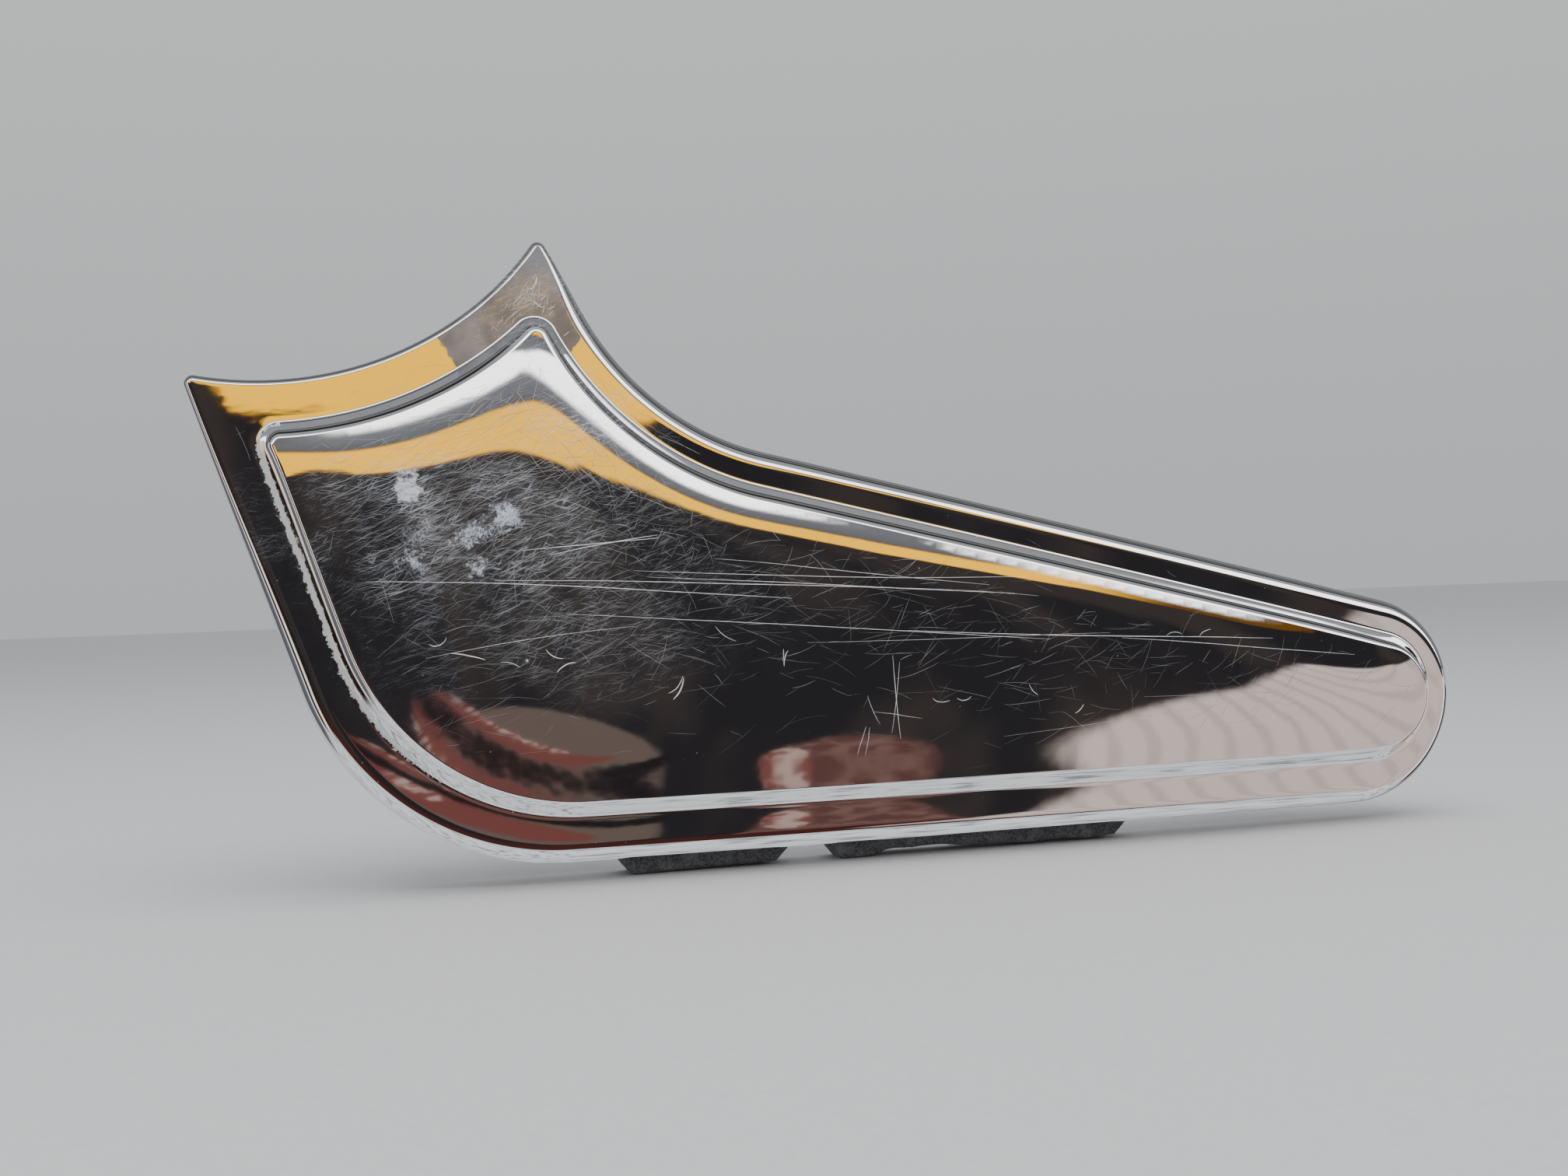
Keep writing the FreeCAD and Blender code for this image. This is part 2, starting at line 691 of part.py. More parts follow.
def main():
    doc = FreeCAD.newDocument("tank_trim")
    make_sheet(doc)
    nodes = {"trim_shell": make_shell(doc)}
    for place, (x, z) in STUDS.items():
        title = place.capitalize()
        nodes[f"insert_{place}"] = make_insert(
            doc, f"insert_{place}", f"{title} threaded insert", x, z
        )
        nodes[f"stud_{place}"] = make_stud(doc, f"stud_{place}", f"{title} stud", x, z)
        nodes[f"washer_{place}"] = make_washer(doc, f"washer_{place}", f"{title} washer", x, z)
        nodes[f"cushion_{place}"] = make_cushion(
            doc, f"cushion_{place}", f"{title} rubber cushion", x, z
        )
    bottom = f"-{cell('stud_to_bottom')}"
    for place in ("front", "rear"):
        name = f"foam_lower_{place}"
        nodes[name] = make_foam(
            doc, name, f"Lower {place} foam strip", cell(f"lower_{place}_foam_start"),
            cell(f"lower_{place}_foam_length"), level=bottom,
        )
    # The upper and side strips lie on the inside of the skirt, so their level is the inner wall
    upper_level = (
        f"({cell('tail_center_x')} * sin({cell('upper_slope')})"
        f" + ({cell('tail_radius')} - {cell('stud_to_bottom')}) * cos({cell('upper_slope')})"
        f" + {cell('tail_radius')} - {cell('wall')})"
    )
    nodes["foam_upper"] = make_foam(
        doc, "foam_upper", "Upper foam strip",
        f"{cell('tail_center_x')} - {cell('upper_foam_length')} - {cell('upper_foam_start')}",
        cell("upper_foam_length"), angle=cell("upper_slope"), level=upper_level,
    )
    side_level = (
        f"-({cell('corner_center_x')} * cos({cell('side_lean')})"
        f" + ({cell('corner_radius')} - {cell('stud_to_bottom')}) * sin({cell('side_lean')})"
        f" - {cell('corner_radius')} + {cell('wall')})"
    )
    nodes["foam_side"] = make_foam(
        doc, "foam_side", "Side foam strip", cell("side_foam_start"), cell("side_foam_length"),
        angle=f"-90 - {cell('side_lean')}", level=side_level,
    )
    doc.recompute()
    for obj in doc.Objects:
        if {"Invalid", "Error"} & set(obj.State):
            raise RuntimeError(f"{obj.Name}: {obj.State}")
    os.makedirs("parts", exist_ok=True)
    for name, obj in nodes.items():
        shape = obj.Shape
        if shape.isNull() or not shape.isValid() or len(shape.Solids) != 1:
            raise RuntimeError(f"{name}: not one valid solid")
        shape.exportStep(f"parts/{name}.step")
        box = shape.BoundBox
        print(name, round(shape.Volume, 1), [round(v, 2) for v in (
            box.XMin, box.YMin, box.ZMin, box.XMax, box.YMax, box.ZMax)])


main()
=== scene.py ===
"""Looks of the chromed tank trim cover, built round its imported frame. Lengths are in metres, and
the outline's dimensions are given in millimetres and turned into metres where they are used."""
import math
import random

import bpy
import numpy as np
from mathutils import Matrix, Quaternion, Vector, noise
from mathutils.geometry import delaunay_2d_cdt


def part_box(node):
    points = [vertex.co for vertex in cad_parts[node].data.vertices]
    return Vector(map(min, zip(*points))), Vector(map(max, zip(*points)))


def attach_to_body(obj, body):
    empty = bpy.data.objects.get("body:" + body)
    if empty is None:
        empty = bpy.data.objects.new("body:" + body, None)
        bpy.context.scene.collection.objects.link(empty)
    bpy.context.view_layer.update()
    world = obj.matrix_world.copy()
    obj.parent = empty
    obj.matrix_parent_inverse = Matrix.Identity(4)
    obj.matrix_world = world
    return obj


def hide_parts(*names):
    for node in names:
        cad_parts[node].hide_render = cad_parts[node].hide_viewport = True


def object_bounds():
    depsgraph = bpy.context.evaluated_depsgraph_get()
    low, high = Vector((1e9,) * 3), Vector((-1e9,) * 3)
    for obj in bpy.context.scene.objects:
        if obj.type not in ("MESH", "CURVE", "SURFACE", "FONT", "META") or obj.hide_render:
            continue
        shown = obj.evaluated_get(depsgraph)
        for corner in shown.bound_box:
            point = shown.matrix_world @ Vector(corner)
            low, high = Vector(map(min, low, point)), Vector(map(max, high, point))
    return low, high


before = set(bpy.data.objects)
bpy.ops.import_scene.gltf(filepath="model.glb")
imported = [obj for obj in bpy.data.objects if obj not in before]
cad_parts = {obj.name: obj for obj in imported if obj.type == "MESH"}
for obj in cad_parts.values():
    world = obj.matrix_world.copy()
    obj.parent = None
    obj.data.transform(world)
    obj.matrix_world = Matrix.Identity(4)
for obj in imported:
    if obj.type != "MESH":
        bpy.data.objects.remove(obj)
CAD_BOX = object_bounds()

MM = 0.001
BODY = "root"

# ---- outline, in millimetres
# Points of the XZ plane are complex numbers x + iz, measured from the lower stud.

BOTTOM = -30.0
CORNER_X, CORNER_RADIUS = 8.6, 39.9
SIDE_LEAN = math.radians(18.2)
NOTCH_CENTER, NOTCH_RADIUS = -33.8 + 91.7j, 49.0
HORN_SLOPE = math.radians(62.0)
SWEEP_X, SWEEP_RADIUS = 49.6, 40.3
UPPER_SLOPE = math.radians(13.7)
TAIL_X, TAIL_RADIUS = 144.7, 17.6
TIP_RADIUS = 1.2
PANEL_TIP_RADIUS = 3.0
CORE_TIP_RADIUS = 0.8
WALL = 2.5
LAND = {"side": 6.6, "notch": 6.6, "upper": 5.8, "tail": 6.9, "bottom": 7.7, "corner": 2.9}
# How many points each stretch of the outline gets, in order round it
STRETCHES = {
    "bottom": 110, "tail": 60, "upper": 96, "sweep": 56, "horn": 26, "high_tip": 20,
    "notch": 84, "low_tip": 20, "side": 50, "corner": 70,
}
ROUND = sum(STRETCHES.values())


def unit(angle):
    return complex(math.cos(angle), math.sin(angle))


def nearest_meeting(point, direction, center, radius, towards):
    """Where a line meets a circle, nearest to a given point."""
    offset = center - point
    foot = point + direction * (offset * direction.conjugate()).real
    half = math.sqrt(radius**2 - abs(center - foot) ** 2)
    return min((foot + direction * half, foot - direction * half), key=lambda p: abs(p - towards))


def trace(inset, tip):
    """Points round the outline, moved inwards by the inset of each side, and inward normals."""
    upper_normal, horn_normal = 1j * unit(-UPPER_SLOPE), 1j * unit(-HORN_SLOPE)
    side_normal = unit(SIDE_LEAN)
    horn_way, side_way = unit(-HORN_SLOPE), 1j * side_normal
    bottom = BOTTOM + inset["bottom"]
    tail_ref = complex(TAIL_X, BOTTOM + TAIL_RADIUS)
    corner_ref = complex(CORNER_X, BOTTOM + CORNER_RADIUS)

    upper_at = tail_ref + upper_normal * (TAIL_RADIUS - inset["upper"])
    tail_radius = TAIL_RADIUS - inset["tail"]
    rise = upper_at - 1j * (bottom + tail_radius)
    gap = (rise * upper_normal.conjugate()).real - tail_radius
    tail = complex(gap / upper_normal.real, bottom + tail_radius)

    sweep_radius = SWEEP_RADIUS + inset["upper"]
    above = upper_at + upper_normal * sweep_radius
    sweep = complex(SWEEP_X, above.imag - (SWEEP_X - above.real) * math.tan(UPPER_SLOPE))

    corner_radius = CORNER_RADIUS - inset["corner"]
    side_at = corner_ref - side_normal * (CORNER_RADIUS - inset["side"])
    across = side_at + side_normal * corner_radius - 1j * (bottom + corner_radius)
    reach = (across * side_normal.conjugate()).real
    corner = complex(reach / side_normal.real, bottom + corner_radius)

    notch_radius = NOTCH_RADIUS + inset["notch"]
    horn_at = sweep - horn_normal * sweep_radius
    high = nearest_meeting(
        horn_at - horn_normal * tip, horn_way, NOTCH_CENTER, notch_radius + tip, horn_at
    )
    low = nearest_meeting(
        side_at + side_normal * tip, side_way, NOTCH_CENTER, notch_radius + tip, side_at
    )
    high_notch = (NOTCH_CENTER - high) / abs(NOTCH_CENTER - high)
    low_notch = (NOTCH_CENTER - low) / abs(NOTCH_CENTER - low)

    down = -1j
    points, normals = [], []

    def line(name, start, end):
        way = (end - start) / abs(end - start)
        for k in range(STRETCHES[name]):
            points.append(start + (end - start) * k / STRETCHES[name])
            normals.append(way * 1j)

    def arc(name, center, radius, start, end, sign):
        """An arc between two unit directions; sign is 1 counterclockwise and -1 clockwise."""
        first = math.atan2(start.imag, start.real)
        turn = (math.atan2(end.imag, end.real) - first) * sign % math.tau * sign
        for k in range(STRETCHES[name]):
            out = unit(first + turn * k / STRETCHES[name])
            points.append(center + radius * out)
            normals.append(-out * sign)

    line("bottom", complex(corner.real, bottom), complex(tail.real, bottom))
    arc("tail", tail, tail_radius, down, upper_normal, 1)
    line("upper", tail + upper_normal * tail_radius, sweep - upper_normal * sweep_radius)
    arc("sweep", sweep, sweep_radius, -upper_normal, -horn_normal, -1)
    line("horn", sweep - horn_normal * sweep_radius, high + horn_normal * tip)
    arc("high_tip", high, tip, horn_normal, high_notch, 1)
    arc("notch", NOTCH_CENTER, notch_radius, -high_notch, -low_notch, -1)
    arc("low_tip", low, tip, low_notch, -side_normal, 1)
    line("side", low - side_normal * tip, corner - side_normal * corner_radius)
    arc("corner", corner, corner_radius, -side_normal, down, 1)
    return np.array(points), np.array(normals)


def stretch(*names):
    """The indexes of some stretches of the outline."""
    order = np.repeat(list(STRETCHES), list(STRETCHES.values()))
    return np.flatnonzero(np.isin(order, names))


OUTER, OUTER_IN = trace(dict.fromkeys(LAND, 0.0), TIP_RADIUS)
FOOT, FOOT_IN = trace(LAND, PANEL_TIP_RADIUS)
CORE, CORE_IN = trace(dict.fromkeys(LAND, WALL), CORE_TIP_RADIUS)
CORE_FOOT, CORE_FOOT_IN = trace({k: v + WALL for k, v in LAND.items()}, CORE_TIP_RADIUS)

# ---- heights of the front, in mm

DOME_X, DOME_Z = 56.0, 15.0
LAND_HEIGHT, LAND_RADIUS_UP, LAND_RADIUS_ALONG = 15.0, 260.0, 1500.0
# The step up to the panel: a concave foot, a straight riser and a convex shoulder
FOOT_ROUND, SHOULDER_ROUND, STEP_HEIGHT = 0.8, 1.8, 2.2
STEP_ANGLE, SIDE_STEP_ANGLE, TAIL_STEP_ANGLE = (math.radians(a) for a in (54.0, 60.0, 42.0))
# The panel's crown: how high it grows inside its edge, how fast along its upper and lower side, and
# how much of it is lost at the lower side
CROWN, UPPER_FADE, LOWER_FADE, LOWER_SHARE = 2.7, 3.8, 12.0, 0.6
LIFT = 0.012


def land_height(points):
    """Height of the land's dome over the back plane."""
    across = LAND_RADIUS_ALONG - LAND_RADIUS_UP
    ring = across + np.sqrt(LAND_RADIUS_UP**2 - (points.imag - DOME_Z) ** 2)
    return np.sqrt(ring**2 - (points.real - DOME_X) ** 2) - (LAND_RADIUS_ALONG - LAND_HEIGHT)


EDGE_LENGTH = abs(np.roll(FOOT, -1) - FOOT) / 2 + abs(FOOT - np.roll(FOOT, 1)) / 2
UPPER_SIDES = ("upper", "sweep", "horn", "high_tip", "notch", "low_tip")
UPPER_EDGE = stretch(*UPPER_SIDES)
LOWER_EDGE = np.setdiff1d(np.arange(ROUND), UPPER_EDGE)


def nearness(points, edge, fade):
    """1 on a long straight edge, and fading to 0 away from it."""
    near = np.zeros(points.shape)
    for start in range(0, len(points), 2000):
        part = points[start:start + 2000]
        reach = abs(part[:, None] - FOOT[None, edge])
        near[start:start + 2000] = (np.exp(-reach / fade) * EDGE_LENGTH[edge]).sum(1)
    near = near / (2 * fade)
    return near / (1 + near**10) ** 0.1


def crown_height(points):
    """Height of the panel's crown: none at its upper edge, and levelling off inside."""
    upper = nearness(points, UPPER_EDGE, UPPER_FADE)
    lower = nearness(points, LOWER_EDGE, LOWER_FADE)
    return CROWN * (1 - upper) * (1 - LOWER_SHARE * lower)


def step_angles():
    """The step's slope at each point of the outline: steeper at the side, gentler at the tail."""
    angle = np.full(ROUND, STEP_ANGLE)
    angle[stretch("tail")] = TAIL_STEP_ANGLE
    angle[stretch("side")] = SIDE_STEP_ANGLE
    window = np.hanning(41)
    wrapped = np.concatenate([angle[-20:], angle, angle[:20]])
    return np.convolve(wrapped, window / window.sum(), "valid")


def step_profile():
    """Places across the step, inwards from its foot, with the height at each, row by row."""
    slope = step_angles()
    sin, cos = np.sin(slope), np.cos(slope)
    riser = (STEP_HEIGHT - (FOOT_ROUND + SHOULDER_ROUND) * (1 - cos)) / sin
    rows = []
    for k in range(5):
        a = slope * k / 4
        rows.append((FOOT_ROUND * (np.sin(a) - sin), FOOT_ROUND * (1 - np.cos(a))))
    at, height = rows[-1]
    rows.append((at + riser * cos / 2, height + riser * sin / 2))
    at, height = at + riser * cos, height + riser * sin
    for k in range(11):
        a = slope * (1 - k / 10)
        rise = SHOULDER_ROUND * (np.cos(a) - cos)
        rows.append((at + SHOULDER_ROUND * (sin - np.sin(a)), height + rise))
    return rows


STEP = step_profile()
STEP_WIDTH = STEP[-1][0]


def smooth(value):
    value = np.clip(value, 0, 1)
    return value * value * (3 - 2 * value)


def panel_height(points):
    """Height of the panel's top inside its shoulder."""
    return land_height(points) + STEP_HEIGHT + crown_height(points)


def height_normals(points, height):
    """Outward normals of a height over the back plane, facing -Y, in the row's axes."""
    d = 0.05
    slope_x = (height(points + d) - height(points - d)) / (2 * d)
    slope_z = (height(points + d * 1j) - height(points - d * 1j)) / (2 * d)
    normals = np.stack([-slope_x, -np.ones(len(points)), -slope_z], 1)
    return normals / np.linalg.norm(normals, axis=1)[:, None]


def place(points, height):
    """Rows of coordinates in metres for flat points and their heights in millimetres."""
    height = np.broadcast_to(height, points.shape)
    return np.stack([points.real, -height, points.imag], 1) * MM


# ---- shell


def rim_radius():
    """The rim's round at each point of the outline: small at the notch, full elsewhere."""
    full, small = 2.8, 1.0
    radius = np.full(ROUND, full)
    radius[stretch("high_tip", "notch", "low_tip")] = small
    horn, side = stretch("horn"), stretch("side")
    radius[horn] = full + (small - full) * smooth(np.linspace(0, 1, len(horn)))
    radius[side] = small + (full - small) * smooth(np.linspace(0, 1, len(side)))
    return radius


def skirt_rows(loop, inwards, side, depth, radius, counts, foot):
    """Rows on one side of the wall, from a bevel at the back edge up the skirt, round the rim and
    over the land. The side is 1 outside and -1 inside, and depth is how far it lies under the top.
    The counts are the steps up the skirt, round the rim and over the land."""
    bevel = 0.3
    quarter = math.pi / 2
    skirt, rim, land = counts
    rows = []
    for k in range(3):
        a = quarter * k / 2
        at = loop + side * inwards * bevel * (1 - math.sin(a))
        rows.append(place(at, bevel * (1 - math.cos(a))))
    for k in range(1, skirt):
        rows.append(place(loop, bevel + (land_height(loop) - depth - radius - bevel) * k / skirt))
    for k in range(rim + 1):
        a = quarter * k / rim
        at = loop + inwards * radius * (1 - math.cos(a))
        rows.append(place(at, land_height(at) - depth - radius * (1 - math.sin(a))))
    rim_end = loop + inwards * radius
    for k in range(1, land):
        at = rim_end + (foot - rim_end) * k / land
        rows.append(place(at, land_height(at) - depth))
    return rows


def outer_rows():
    """Rows of the shell's outside, from the back edge round the rim and over the step."""
    foot = FOOT + FOOT_IN * STEP[0][0]
    rows = skirt_rows(OUTER, OUTER_IN, 1, 0.0, rim_radius(), (6, 12, 9), foot)
    for inwards, rise in STEP:
        at = FOOT + FOOT_IN * inwards
        blend = smooth(inwards / STEP_WIDTH)
        rows.append(place(at, land_height(at) + rise + crown_height(at) * blend))
    return rows


def inner_rows():
    """Rows of the shell's inside, from the back edge inwards."""
    rows = skirt_rows(CORE, CORE_IN, -1, WALL, 0.6, (5, 4, 5), CORE_FOOT)
    for inwards, share in ((0.0, 0.0), (0.1, 0.12), (0.3, 0.88), (0.45, 1.0)):
        at = CORE_FOOT + CORE_FOOT_IN * inwards
        full = panel_height(at) - land_height(at)
        rows.append(place(at, land_height(at) - WALL + full * share))
    return rows


def inside(points, loop):
    """Which points lie inside a closed loop, by the crossing rule."""
    odd = np.zeros(len(points), bool)
    for a, b in zip(loop, np.roll(loop, -1)):
        if a.imag == b.imag:
            continue
        spans = (points.imag < a.imag) != (points.imag < b.imag)
        at = a.real + (points.imag - a.imag) * (b.real - a.real) / (b.imag - a.imag)
        odd ^= spans & (points.real < at)
    return odd


def fill_points(loop, pitch):
    """A staggered grid of points inside a loop, kept clear of it."""
    left, low = loop.real.min(), loop.imag.min()
    rows = int((loop.imag.max() - low) / (pitch * 0.866)) + 2
    columns = int((loop.real.max() - left) / pitch) + 2
    row, column = np.mgrid[:rows, :columns].reshape(2, -1)
    points = left + (column + 0.5 * (row % 2)) * pitch + 1j * (low + row * pitch * 0.866)
    points = points[inside(points, loop)]
    return points[[abs(loop - p).min() > pitch * 0.55 for p in points]]


def new_mesh(name, points, faces, materials):
    """A mesh with smooth shading, from rows of coordinates in metres."""
    mesh = bpy.data.meshes.new(name)
    mesh.from_pydata(points.tolist(), [], faces)
    mesh.validate()
    for material in materials:
        mesh.materials.append(material)
    mesh.polygons.foreach_set("use_smooth", [True] * len(mesh.polygons))
    return mesh


def attach(name, mesh):
    piece = bpy.data.objects.new(name, mesh)
    bpy.context.scene.collection.objects.link(piece)
    return piece


class Surface:
    """Collects vertices, normals, faces and point values for one mesh."""

    def __init__(self):
        self.points, self.normals, self.faces, self.slots = [], [], [], []
        self.values, self.count = {}, 0

    def add(self, points, normals, **values):
        """Adds points and gives the number of the first. Values that aren't given are 0."""
        first = self.count
        self.points.append(points)
        self.normals.append(normals)
        self.count += len(points)
        for name in set(self.values) | set(values):
            kept = self.values.setdefault(name, [np.zeros(first)])
            kept.append(np.broadcast_to(values.get(name, 0.0), (len(points),)))
        return first

    def face(self, corners, slot=0):
        self.faces.append(corners)
        self.slots.append(slot)

    def build(self, name, materials):
        mesh = new_mesh(name, np.concatenate(self.points), self.faces, materials)
        mesh.polygons.foreach_set("material_index", self.slots)
        for key, parts in self.values.items():
            value = mesh.attributes.new(key, "FLOAT", "POINT")
            value.data.foreach_set("value", np.concatenate(parts).astype(np.float32))
        mesh.normals_split_custom_set_from_vertices(np.concatenate(self.normals).tolist())
        mesh.update()
        return attach(name, mesh)


def row_normals(rows, sign):
    """Normals of a closed sheet of rows, from the rows and points on either side."""
    grid = np.stack(rows)
    along = np.roll(grid, -1, 1) - np.roll(grid, 1, 1)
    across = np.empty_like(grid)
    across[1:-1] = grid[2:] - grid[:-2]
    across[0], across[-1] = grid[1] - grid[0], grid[-1] - grid[-2]
    normals = np.cross(along, across) * sign
    return normals / np.linalg.norm(normals, axis=2)[:, :, None]


def add_side(surface, rows, sign, slot, height, pitch, wear=None):
    """Adds one side of the shell: its rows, then a filled middle. Returns its first row's start."""

    def face(*corners):
        surface.face(corners[::sign], slot)

    normals = row_normals(rows, sign)
    loop = (rows[-1][:, 0] + 1j * rows[-1][:, 2]) / MM
    normals[-1] = height_normals(loop, height) * sign
    # On the outside each row carries pale residue in the crease and the share of painted dark
    # reflection round the horn
    wear = wear or [{}] * len(rows)
    starts = [surface.add(*row, **worn) for *row, worn in zip(rows, normals, wear)]
    edges = [(i, (i + 1) % ROUND) for i in range(ROUND)]
    for low, high in zip(starts, starts[1:]):
        for i, j in edges:
            face(low + i, low + j, high + j, high + i)
    middle = fill_points(loop, pitch)
    flat = [Vector((p.real, p.imag)) for p in np.concatenate([loop, middle])]
    made, _, faces, origins, _, _ = delaunay_2d_cdt(flat, edges, [], 1, 1e-7)
    first = surface.add(place(middle, height(middle)), height_normals(middle, height) * sign)
    number = [starts[-1] + k if k < ROUND else first + k - ROUND for k, *_ in origins]
    for corners in faces:
        a, b, c = (number[i] for i in corners)
        p, q, r = (made[i] for i in corners)
        turn = (q - p).x * (r - p).y - (q - p).y * (r - p).x
        face(*((a, b, c) if turn > 0 else (a, c, b)))
    return starts[0]


def wear_rows(rows):
    """Row by row, how much pale dirt lies in the crease at the foot of the step, and how much
    painted dark reflection covers the land round the horn."""
    level = np.zeros(ROUND)
    level[stretch("side")] = 1.0
    level[stretch("low_tip")] = 0.7
    corner = stretch("corner")
    level[corner] = 1 - smooth(np.linspace(-0.2, 1, len(corner)))
    out = []
    for row in rows:
        at = (row[:, 0] + 1j * row[:, 2]) / MM
        past_foot = ((at - FOOT) * FOOT_IN.conjugate()).real
        past_rim = ((at - OUTER) * OUTER_IN.conjugate()).real - rim_radius()
        # The painted dark reflection ends at a slanted line on the notch side, and another on the
        # sweep side
        notch_side = at.real + 8.3 - 0.56 * (48.8 - at.imag)
        sweep_side = at.imag - 46.0 + 2 * (11.0 - at.real)
        # Share of painted dark reflection: a matte dark grey put in place of what the chrome would
        # mirror
        dull = smooth(notch_side / 4 + 0.5) * smooth(sweep_side / 4 + 0.5)
        dull = dull * smooth((-past_foot - 0.45) / 0.2) * smooth(past_rim / 0.4 + 1)
        out.append({"residue": level * np.exp(-((past_foot + 0.15) / 0.6) ** 2), "dull": dull})
    return out


def build_shell(front, back):
    """The chromed shell's skin, one closed mesh with a bright outside and a duller inside."""
    surface = Surface()
    rows = outer_rows()
    outer = add_side(surface, rows, 1, 0, panel_height, 1.0, wear_rows(rows))
    inner = add_side(
        surface, inner_rows(), -1, 1, lambda points: panel_height(points) - WALL, 2.5
    )
    for i in range(ROUND):
        j = (i + 1) % ROUND
        surface.face((outer + i, inner + i, inner + j, outer + j), 1)
    return surface.build("shell_skin", [front, back])


# ---- nodes


class Value:
    """A number or a colour in a node tree. Arithmetic on it adds math nodes."""

    def __init__(self, nodes, socket):
        self.nodes, self.socket = nodes, socket

    def __add__(self, other):
        return self.nodes.math("ADD", self, other)

    def __sub__(self, other):
        return self.nodes.math("SUBTRACT", self, other)

    def __mul__(self, other):
        return self.nodes.math("MULTIPLY", self, other)

    def __pow__(self, other):
        return self.nodes.math("POWER", self, other)

    def step(self, low, high):
        """0 under low, 1 over high and smooth between them."""
        return self.nodes.add(
            "MapRange", {"interpolation_type": "SMOOTHSTEP"}, Value=self, From_Min=low, From_Max=high
        )


class Nodes:
    """Short ways to add and link shader nodes in one tree."""

    def __init__(self, tree):
        self.tree = tree
        tree.nodes.clear()

    def feed(self, made, key, value):
        """Links a value to an input of a node, or sets the input to a constant."""
        socket = made.inputs[int(key) if key.isdigit() else key.replace("_", " ")]
        if isinstance(value, Value):
            self.tree.links.new(value.socket, socket)
        else:
            socket.default_value = value

    def add(self, kind, settings=None, out=0, **inputs):
        """Adds a node and gives one of its outputs."""
        made = self.tree.nodes.new("ShaderNode" + kind)
        for key, value in (settings or {}).items():
            setattr(made, key, value)
        for key, value in inputs.items():
            self.feed(made, key, value)
        return Value(self, made.outputs[out])

    def output(self, result, kind="OutputMaterial"):
        self.feed(self.tree.nodes.new("ShaderNode" + kind), "Surface", result)

    def noise(self, where, scale, detail=2.0, rough=0.5, out="Fac"):
        inputs = {"Vector": where, "Scale": scale, "Detail": detail, "Roughness": rough}
        return self.add("TexNoise", None, out, **inputs)

    def math(self, operation, *values, kind="Math", out=0, **settings):
        numbered = {str(index): value for index, value in enumerate(values)}
        return self.add(kind, {"operation": operation, **settings}, out, **numbered)

    def vector(self, operation, *values, out=0):
        return self.math(operation, *values, kind="VectorMath", out=out)

    def painted(self, name):
        """A value that the mesh carries at its points."""
        return self.add("Attribute", {"attribute_name": name}, "Fac")

    def ramp(self, value, stops):
        """A ramp through some stops, each a place and a colour or a grey."""
        made = self.tree.nodes.new("ShaderNodeValToRGB")
        self.feed(made, "Fac", value)
        elements = made.color_ramp.elements
        while len(elements) < len(stops):
            elements.new(1.0)
        for element, (at, color) in zip(elements, stops):
            element.position = at
            element.color = (*color, 1) if isinstance(color, tuple) else (color, color, color, 1)
        return Value(self, made.outputs["Color"])

    def mix(self, factor, first, second):
        """A mix of two colours, each a value or three numbers."""
        first, second = (c if isinstance(c, Value) else (*c, 1) for c in (first, second))
        return self.add("Mix", {"data_type": "RGBA"}, 2, **{"0": factor, "6": first, "7": second})

    def surface(self, color, rough, metallic=0.0, relief=None):
        """A surface of one colour. Its relief is a strength, a distance and a height."""
        inputs = {"Base Color": color, "Roughness": rough, "Metallic": metallic}
        if relief:
            strength, distance, height = relief
            inputs["Normal"] = self.add("Bump", Strength=strength, Distance=distance, Height=height)
        return self.add("BsdfPrincipled", **inputs)

    def blend(self, factor, first, second):
        """A mix of two surfaces."""
        return self.add("MixShader", **{"0": factor, "1": first, "2": second})


# ---- bosses, ribs and hardware

STUDS = {"lower": 0j, "upper": 6.0 + 36.0j, "tail": 126.0 - 10.0j}
BOSS_RADIUS, BOSS_FACE = 5.6, 6.5
GUSSET_REACH, GUSSET_WIDTH, GUSSET_FACE = 9.5, 1.6, 9.0
SPINE_WIDTH, SPINE_FACE = 1.8, 11.0
COLLAR_FLATS, COLLAR_THICKNESS = 8.0, 2.5
BORE_RADIUS, BORE_DEPTH = 3.52, 3.0
WASHER_HOLE, WASHER_RADIUS, WASHER_THICKNESS = 2.65, 6.0, 1.0
CUSHION_HOLE, CUSHION_RADIUS, CUSHION_WAIST, CUSHION_LIP = 2.6, 7.0, 6.25, 1.0
NECK_RADIUS, STUD_RADIUS, STUD_REACH, STUD_POINT = 2.3, 2.5, 15.0, 0.8
THREAD_PITCH, THREAD_DEPTH = 0.8, 0.42


def circle(count):
    return np.exp(1j * np.arange(count) * math.tau / count)


def ring(at, y):
    """A row of points from flat points and their y."""
    return np.stack([at.real, np.broadcast_to(y, at.shape), at.imag], 1)


def loft(name, rows, material, flip=False, closed=False, sharp=38):
    """A mesh of quads between rows of points in mm. Both ends are capped, unless the last row joins
    the first. Edges sharper than an angle in degrees stay crisp."""
    count, total = len(rows[0]), len(rows)
    faces = []
    for row in range(total if closed else total - 1):
        low, high = row * count, (row + 1) % total * count
        for i in range(count):
            j = (i + 1) % count
            a, b = (low + j, high + i) if flip else (high + i, low + j)
            faces.append((low + i, a, high + j, b))
    if not closed:
        caps = range(count), range(total * count - 1, (total - 1) * count - 1, -1)
        faces += [tuple(cap[::-1] if flip else cap) for cap in caps]
    mesh = new_mesh(name, np.concatenate(rows) * MM, faces, [material])
    mesh.set_sharp_from_angle(angle=math.radians(sharp))
    return attach(name, mesh)


def declare(piece, node):
    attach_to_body(piece, BODY)
    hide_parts(node)


def rounded(corners, radius):
    """A closed profile with each corner replaced by a small arc of four points."""
    out = []
    for before, here, after in zip(np.roll(corners, 1, 0), corners, np.roll(corners, -1, 0)):
        back, on = before - here, after - here
        back, on = back / np.linalg.norm(back), on / np.linalg.norm(on)
        first, last = here + back * radius, here + on * radius
        for t in (0.0, 0.33, 0.67, 1.0):
            out.append((1 - t) ** 2 * first + 2 * t * (1 - t) * here + t * t * last)
    return out


